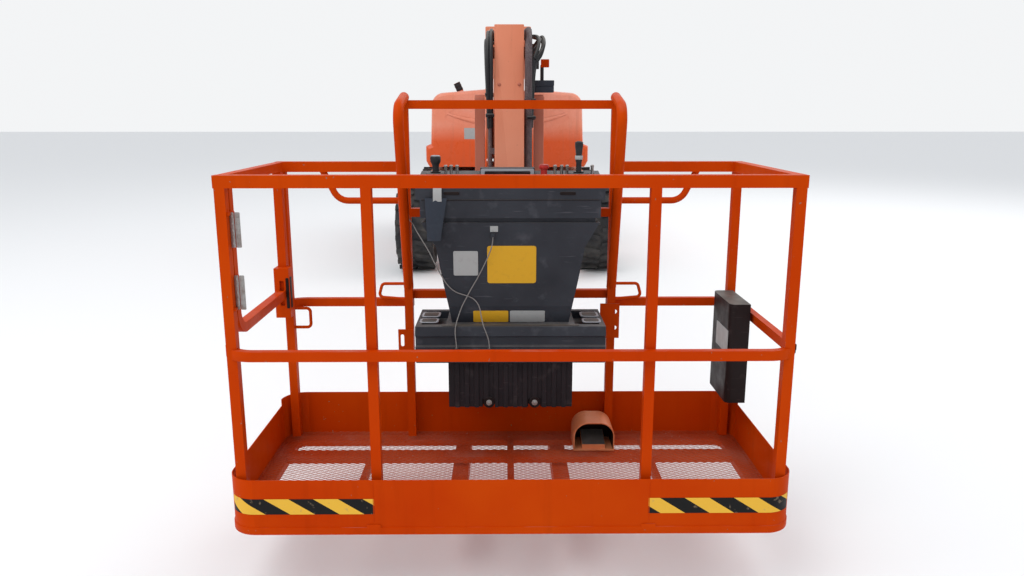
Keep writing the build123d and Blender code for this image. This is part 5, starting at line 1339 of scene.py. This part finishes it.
@dataclass(frozen=True)
class PedalGuard:
    """The footswitch's inside: a dark lining of its arched hood and its back, painted shade under
    the hood, and its pedal's pad.

    The pad's two edges are given by their depth and height.
    """

    middle: float = 324.0
    half: float = 73.6
    low: float = 49.5
    spring: float = 102.0
    radius: float = 51.6
    front: float = 552.0
    back: float = 672.0
    pad_half: float = 44.0
    pad_front: tuple[float, float] = (561.0, 66.4)
    pad_back: tuple[float, float] = (656.0, 91.2)

    def arch(self) -> np.ndarray:
        """The lining's outline: up one side, round both corners' arcs and down the other side.

        Returns:
            Points of x and z, one row each.
        """
        turn = np.linspace(0, np.pi / 2, 9)
        x = self.half - self.radius + self.radius * np.cos(turn)
        right = np.stack([x, self.spring + self.radius * np.sin(turn)], 1)
        left = right[::-1] * [-1, 1]
        return np.concatenate([[[self.half, self.low]], right, left, [[-self.half, self.low]]])

    def build(self) -> None:
        """Lines the hood with rows of the outline from back to front, and closes its back, dark as
        painted shade.
        """
        outline = self.arch()
        depth = np.array([[self.back], [self.front]])
        rows = np.stack(
            np.broadcast_arrays(self.middle + outline[:, 0], depth, outline[:, 1]), -1
        )
        fan = np.broadcast_to([self.middle, self.back, self.low], rows[0].shape)
        # The lining and its back are dark as painted shade under the hood.
        Shell().grid(rows).grid(np.stack([fan, rows[0]])).piece("pedal_hood_painted_shade", CASE)
        sides = self.middle + np.array([-self.pad_half, self.pad_half])
        pad = np.array([[(x, *edge) for x in sides] for edge in (self.pad_front, self.pad_back)])
        Shell().grid(pad).piece("pedal_pad", JUNCTION)


@dataclass(frozen=True)
class YokeHoses:
    """Hydraulic hoses that hang over the jib's yoke, a braided sleeve, clamps and fittings.

    A hose is its name, its diameter and its stops in the jib's frame. A clamp is its middle's
    x and z there.
    """

    hoses: tuple[tuple[str, float, tuple[Triple, ...]], ...] = (
        ("left_outer", 18.0, (
            (-64, 190, 92), (-90, 96, 104), (-94, 6, 84), (-94, -66, 10), (-94, -74, -120),
            (-88, -24, -330),
        )),
        ("left_inner", 17.0, (
            (-54, 190, 96), (-76, 90, 110), (-79, 0, 92), (-79, -72, 16), (-79, -78, -110),
            (-80, -28, -330),
        )),
        ("left_behind", 16.0, (
            (-60, 200, 80), (-98, 80, 70), (-103, -10, 40), (-101, -44, -60), (-96, -46, -180),
            (-90, -20, -335),
        )),
        ("right_outer", 18.0, (
            (66, 160, 96), (108, 90, 88), (148, 20, 54), (145, -30, 8), (113, -60, -52),
            (97, -60, -150), (96, -18, -330),
        )),
        ("right_middle", 17.0, (
            (58, 160, 92), (100, 80, 88), (130, 6, 66), (126, -42, 12), (102, -70, -62),
            (93, -60, -160), (90, -22, -335),
        )),
        ("right_low", 14.0, (
            (112, 120, 50), (146, 60, 82), (156, -10, 44), (142, -40, -14), (114, -50, -72),
            (104, -40, -200), (100, -12, -330),
        )),
    )
    sleeve: Tube = Tube(
        (
            (66, 170, 104), (84, 84, 112), (86, 0, 88), (85, -66, 6), (84, -74, -120),
            (85, -22, -330),
        ),
        32.0, 18,
    )
    clamps: tuple[tuple[float, float], ...] = ((-88, -190), (-86, -280), (98, -215), (98, -290))
    bolt: Profile = ((2, -70), (5.5, -69), (7.5, -67), (7.5, -64))

    def build(self) -> None:
        """Makes each hose along its own soft line, then the fittings that hold them."""
        bracket = Block((163, -3188, 1782), (38, 7, 36), 3, 1.0, Axis.Y)
        stem = Block((150, -3181, 1737), (16, 16, 76), 5, 1.5)
        valves = (
            Block((147, -3198, 1694), (116, 12, 26), 3, 1.5, Axis.Y),
            Block((147, -3197, 1667), (114, 10, 28), 3, 1.5, Axis.Y),
        )
        clamps = tuple(Block((x, -40, z), (38, 52, 14), 8, 2.0, Axis.X) for x, z in self.clamps)
        bolts = tuple(Turned((x, 0, -148), self.bolt, Axis.Y, 18) for x in (-44, 44))
        for fitting in (
            *(
                Fitting(f"yoke_hose_{name}", BLACK, (Tube(stops, across),), "jib_yoke", JIB)
                for name, across, stops in self.hoses
            ),
            Fitting("yoke_sleeve_right", HOSE, (self.sleeve,), "jib_yoke", JIB),
            Fitting("yoke_clamps", BLACK, clamps, "jib_yoke", JIB),
            Fitting("hose_bracket", ORANGE, (bracket,), "jib_yoke", GROUND),
            Fitting("bracket_stem", BLACK, (stem,), "jib_yoke", GROUND),
            Fitting("valve_faces", CARD, valves, "jib_yoke", GROUND),
            Fitting("arm_bolts", LINK, bolts, "jib_arm", JIB),
        ):
            fitting.build()


@dataclass(frozen=True)
class HoodTrim:
    """Louvres, latches and scoops of the two hoods, a blank plate and the exhaust's sleeve."""

    front: float = 1597.5
    louvres_x: float = 795.0
    louvres_y: tuple[float, ...] = (2100, 2650, 3200)
    louvres_z: tuple[float, ...] = (1330, 1364, 1398, 1432, 1466, 1500, 1534)
    latches_x: float = 855.0
    latches_y: tuple[float, ...] = (1750, 2900, 3600)
    latches_z: float = 1130.0
    scoop_start: float = 232.0
    scoop_length: float = 405.0
    scoop_foot: float = 1444.0
    scoop_rise: float = 112.0
    scoop_reach: float = 640.0
    scoop_width: float = 50.0
    scoop_taper: float = 36.0
    scoop_proud: float = 13.0
    scoop_sunk: float = 0.6
    scoop_round: float = 0.6
    scoop_fade: int = 6
    pipe: Triple = (-486.0, 1850.5, 1762.0)
    pipe_lean_deg: float = 25.0
    pipe_span: tuple[float, float] = (30.0, 118.0)
    pipe_radius: float = 36.0
    pipe_wave: float = 1.5
    pipe_wave_length: float = 6.0

    def scoop(self, side: int) -> np.ndarray:
        """Half of the crescent scoop across the hoods' fronts, as a raised dished rim.

        Its middle line's height is its foot plus the rise times the square of x over the
        reach, and its width tapers with the square of how far along it is. Across, the rim
        stands proud by a half wave from edge to edge, to the power of scoop_round, and it
        sinks back to nothing by the power scoop_fade of the way along.

        Args:
            side: -1 left, 1 right.

        Returns:
            A grid of points, rows across the rim and columns along it.
        """
        along, across = np.meshgrid(np.linspace(0, 1, 40), np.linspace(0, 1, 11))
        x = self.scoop_start + self.scoop_length * along
        middle = self.scoop_foot + self.scoop_rise * (x / self.scoop_reach) ** 2
        z = middle + (across - 0.5) * (self.scoop_width - self.scoop_taper * along**2)
        swell = np.sin(np.pi * across) ** self.scoop_round * (1 - along**self.scoop_fade)
        y = self.front + self.scoop_sunk - self.scoop_proud * swell
        return np.stack([side * x, y, z], -1)[:, ::side]

    def exhaust(self) -> np.ndarray:
        """The exhaust's ribbed sleeve: circles up a leaning pipe.

        Their radius varies with the sine of the height over the wave's length.

        Returns:
            Its rings of points.
        """
        lean = math.radians(self.pipe_lean_deg)
        height = np.linspace(*self.pipe_span, 12)[:, None]
        turn = np.linspace(0, 2 * np.pi, 28, endpoint=False)
        radius = self.pipe_radius + self.pipe_wave * np.sin(height / self.pipe_wave_length)
        out, over = radius * np.cos(turn), radius * np.sin(turn)
        across = out * math.cos(lean) - height * math.sin(lean)
        up = out * math.sin(lean) + height * math.cos(lean)
        return np.stack([across, over, up], -1) + np.array(self.pipe)

    def build(self) -> None:
        """Makes the trim of both hoods."""
        for side, name in ((-1, "left"), (1, "right")):
            slats = tuple(
                Block((side * self.louvres_x, y, z), (14, 420, 9), 4, 2.0, Axis.Y)
                for z in self.louvres_z for y in self.louvres_y
            )
            latches = tuple(
                Block((side * self.latches_x, y, self.latches_z), (14, 70, 34), 6, 3.0, Axis.X)
                for y in self.latches_y
            )
            body = f"hood_{name}"
            Fitting(f"louvres_{name}", BLACK, slats, body, GROUND).build()
            Fitting(f"latches_{name}", BLACK, latches, body, GROUND).build()
            Shell(GROUND).grid(self.scoop(side)).piece(f"scoop_{name}", HOOD, body)
        plate = Block((-377, 1596.8, 1347), (146, 2.0, 115), 4, 0.5, Axis.Y)
        Fitting("hood_plate_white", WHITE_PLATE, (plate,), "hood_left", GROUND).build()
        sleeve = Shell(GROUND).grid(self.exhaust(), ring=True)
        sleeve.piece("exhaust_sleeve", BLACK, "hood_left")


@dataclass(frozen=True)
class WheelTrim:
    """Nuts on the wheels and rings on the tyres' sides."""

    reach: float = 1230.0
    hub_x: float = 907.5
    hub_z: float = 435.0
    nut_circle: float = 205.0
    nuts: int = 9
    stud: Profile = ((11, 44), (11, 58), (6, 60), (6, 68), (3, 69))
    rings: tuple[float, ...] = (300, 345)
    ring: Profile = ((-4, 174), (-2, 177.4), (2, 177.4), (4, 174))

    def build(self) -> None:
        """Makes each wheel's trim: studs on the outer side, rings on both flanks."""
        turn = np.linspace(0, 2 * np.pi, self.nuts, endpoint=False)
        for name in WHEELS:
            side = -1 if name.endswith("left") else 1
            along = -self.reach if name.startswith("drive") else self.reach
            x, y = side * self.hub_x, SLEW_Y / MM + along
            stud = (np.array(self.stud) * [1, side])[::side]
            nuts = tuple(
                Turned((x, at_y, at_z), stud, Axis.X, 6)
                for at_y, at_z in zip(
                    y + self.nut_circle * np.cos(turn), self.hub_z + self.nut_circle * np.sin(turn)
                )
            )
            rings = tuple(
                Turned(
                    (x, y, self.hub_z), ((np.array(self.ring) + [radius, 0]) * [1, flank])[::flank],
                    Axis.X, 72, cap=False,
                )
                for radius in self.rings for flank in (-1, 1)
            )
            body = f"wheel_{name}"
            Fitting(f"nuts_{name}", STEEL, nuts, body, GROUND, smooth=False).build()
            Fitting(f"side_rings_{name}", TYRE, rings, body, GROUND).build()


@dataclass(frozen=True)
class Studio:
    """Camera at the photograph's place, pale floor and soft lamps."""

    eye: Triple = (-0.0174, PLATFORM_Y - 2.349, PLATFORM_Z + 1.330)
    down_deg: float = 12.4
    turn_deg: float = 0.465
    lens: float = 28.1
    sensor: float = 36.0
    sight: float = 200.0
    dome: Colour = (0.93, 0.96, 1.0)
    dome_power: float = 0.85
    backdrop: Colour = (0.90, 0.91, 0.92)
    floor: Colour = (0.86, 0.86, 0.86)
    floor_half: float = 60.0
    floor_rough: float = 0.9
    lamp_power: float = 420.0

    def camera(self) -> None:
        """Sets the camera."""
        data = bpy.data.cameras.new("camera")
        data.lens, data.sensor_width = self.lens, self.sensor
        data.clip_end = self.sight
        made = put("camera", data)
        made.location = self.eye
        made.rotation_euler = (math.radians(90 - self.down_deg), 0.0, -math.radians(self.turn_deg))
        bpy.context.scene.camera = made

    def world(self) -> None:
        """A pale backdrop for the camera, gloss and glass, and an even dome for the rest."""
        graph = Graph(bpy.data.worlds.new("sky"))
        rays = graph.node("ShaderNodeLightPath", {}).outputs
        seen = graph.math("MAXIMUM", rays["Is Camera Ray"], rays["Is Glossy Ray"])
        seen = graph.math("MAXIMUM", seen, rays["Is Transmission Ray"])
        dome, backdrop = (
            graph.node("ShaderNodeBackground", {0: opaque(colour), 1: power}).outputs[0]
            for colour, power in ((self.dome, self.dome_power), (self.backdrop, 1.0))
        )
        mixed = graph.node("ShaderNodeMixShader", {0: seen, 1: dome, 2: backdrop})
        graph.node("ShaderNodeOutputWorld", {0: mixed.outputs[0]})
        bpy.context.scene.world = graph.owner

    def lamp(self, name: str, place: Triple, aim: Triple, size: float) -> None:
        """Adds one soft square lamp that looks at a point.

        Args:
            name: The lamp's name.
            place: Where it hangs.
            aim: The point it looks at.
            size: The length of its sides.
        """
        light = bpy.data.lights.new(name, "AREA")
        light.size, light.energy = size, self.lamp_power
        made = put(name, light)
        step = np.array(aim) - np.array(place)
        tip, turn = math.acos(-step[2] / np.linalg.norm(step)), math.atan2(step[1], step[0])
        made.location = place
        made.rotation_euler = (tip, 0.0, turn - math.pi / 2)

    def ground(self) -> None:
        """A plain pale floor."""
        corners = np.array([[-1, -1, 0], [1, -1, 0], [1, 1, 0], [-1, 1, 0]]) * self.floor_half
        mesh = bpy.data.meshes.new("studio_floor")
        mesh.from_pydata(corners.tolist(), [], [[0, 1, 2, 3]])
        graph = Graph(bpy.data.materials.new("studio_floor"))
        inputs = {"Base Color": opaque(self.floor), "Roughness": self.floor_rough}
        mesh.materials.append(graph.shade(inputs))
        put("studio_floor", mesh)

    def build(self) -> None:
        """Sets the whole studio."""
        bpy.context.scene.view_settings.view_transform = "Standard"
        self.camera()
        self.world()
        self.ground()
        self.lamp("key", (-4.0, -7.0, 9.0), (0.0, -2.0, 0.5), 7.0)
        self.lamp("fill", (6.0, 4.0, 9.0), (0.0, 1.0, 1.0), 8.0)


def main() -> None:
    """Dresses the model and builds every other piece in order."""
    logging.basicConfig(level=logging.INFO, format="%(message)s")
    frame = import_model()
    Studio().build()
    for part in CORDS:
        part.build()
    dress_nodes(frame["nodes"])
    for part in EDGES:
        part.build(frame["nodes"])
    for part in (
        MeshFloor(), HazardBands(), *LABELS, ControlPanel(), *SHEETS, GateHardware(),
        PedalGuard(), YokeHoses(), HoodTrim(), WheelTrim(),
    ):
        part.build()


if __name__ == "__main__":
    main()
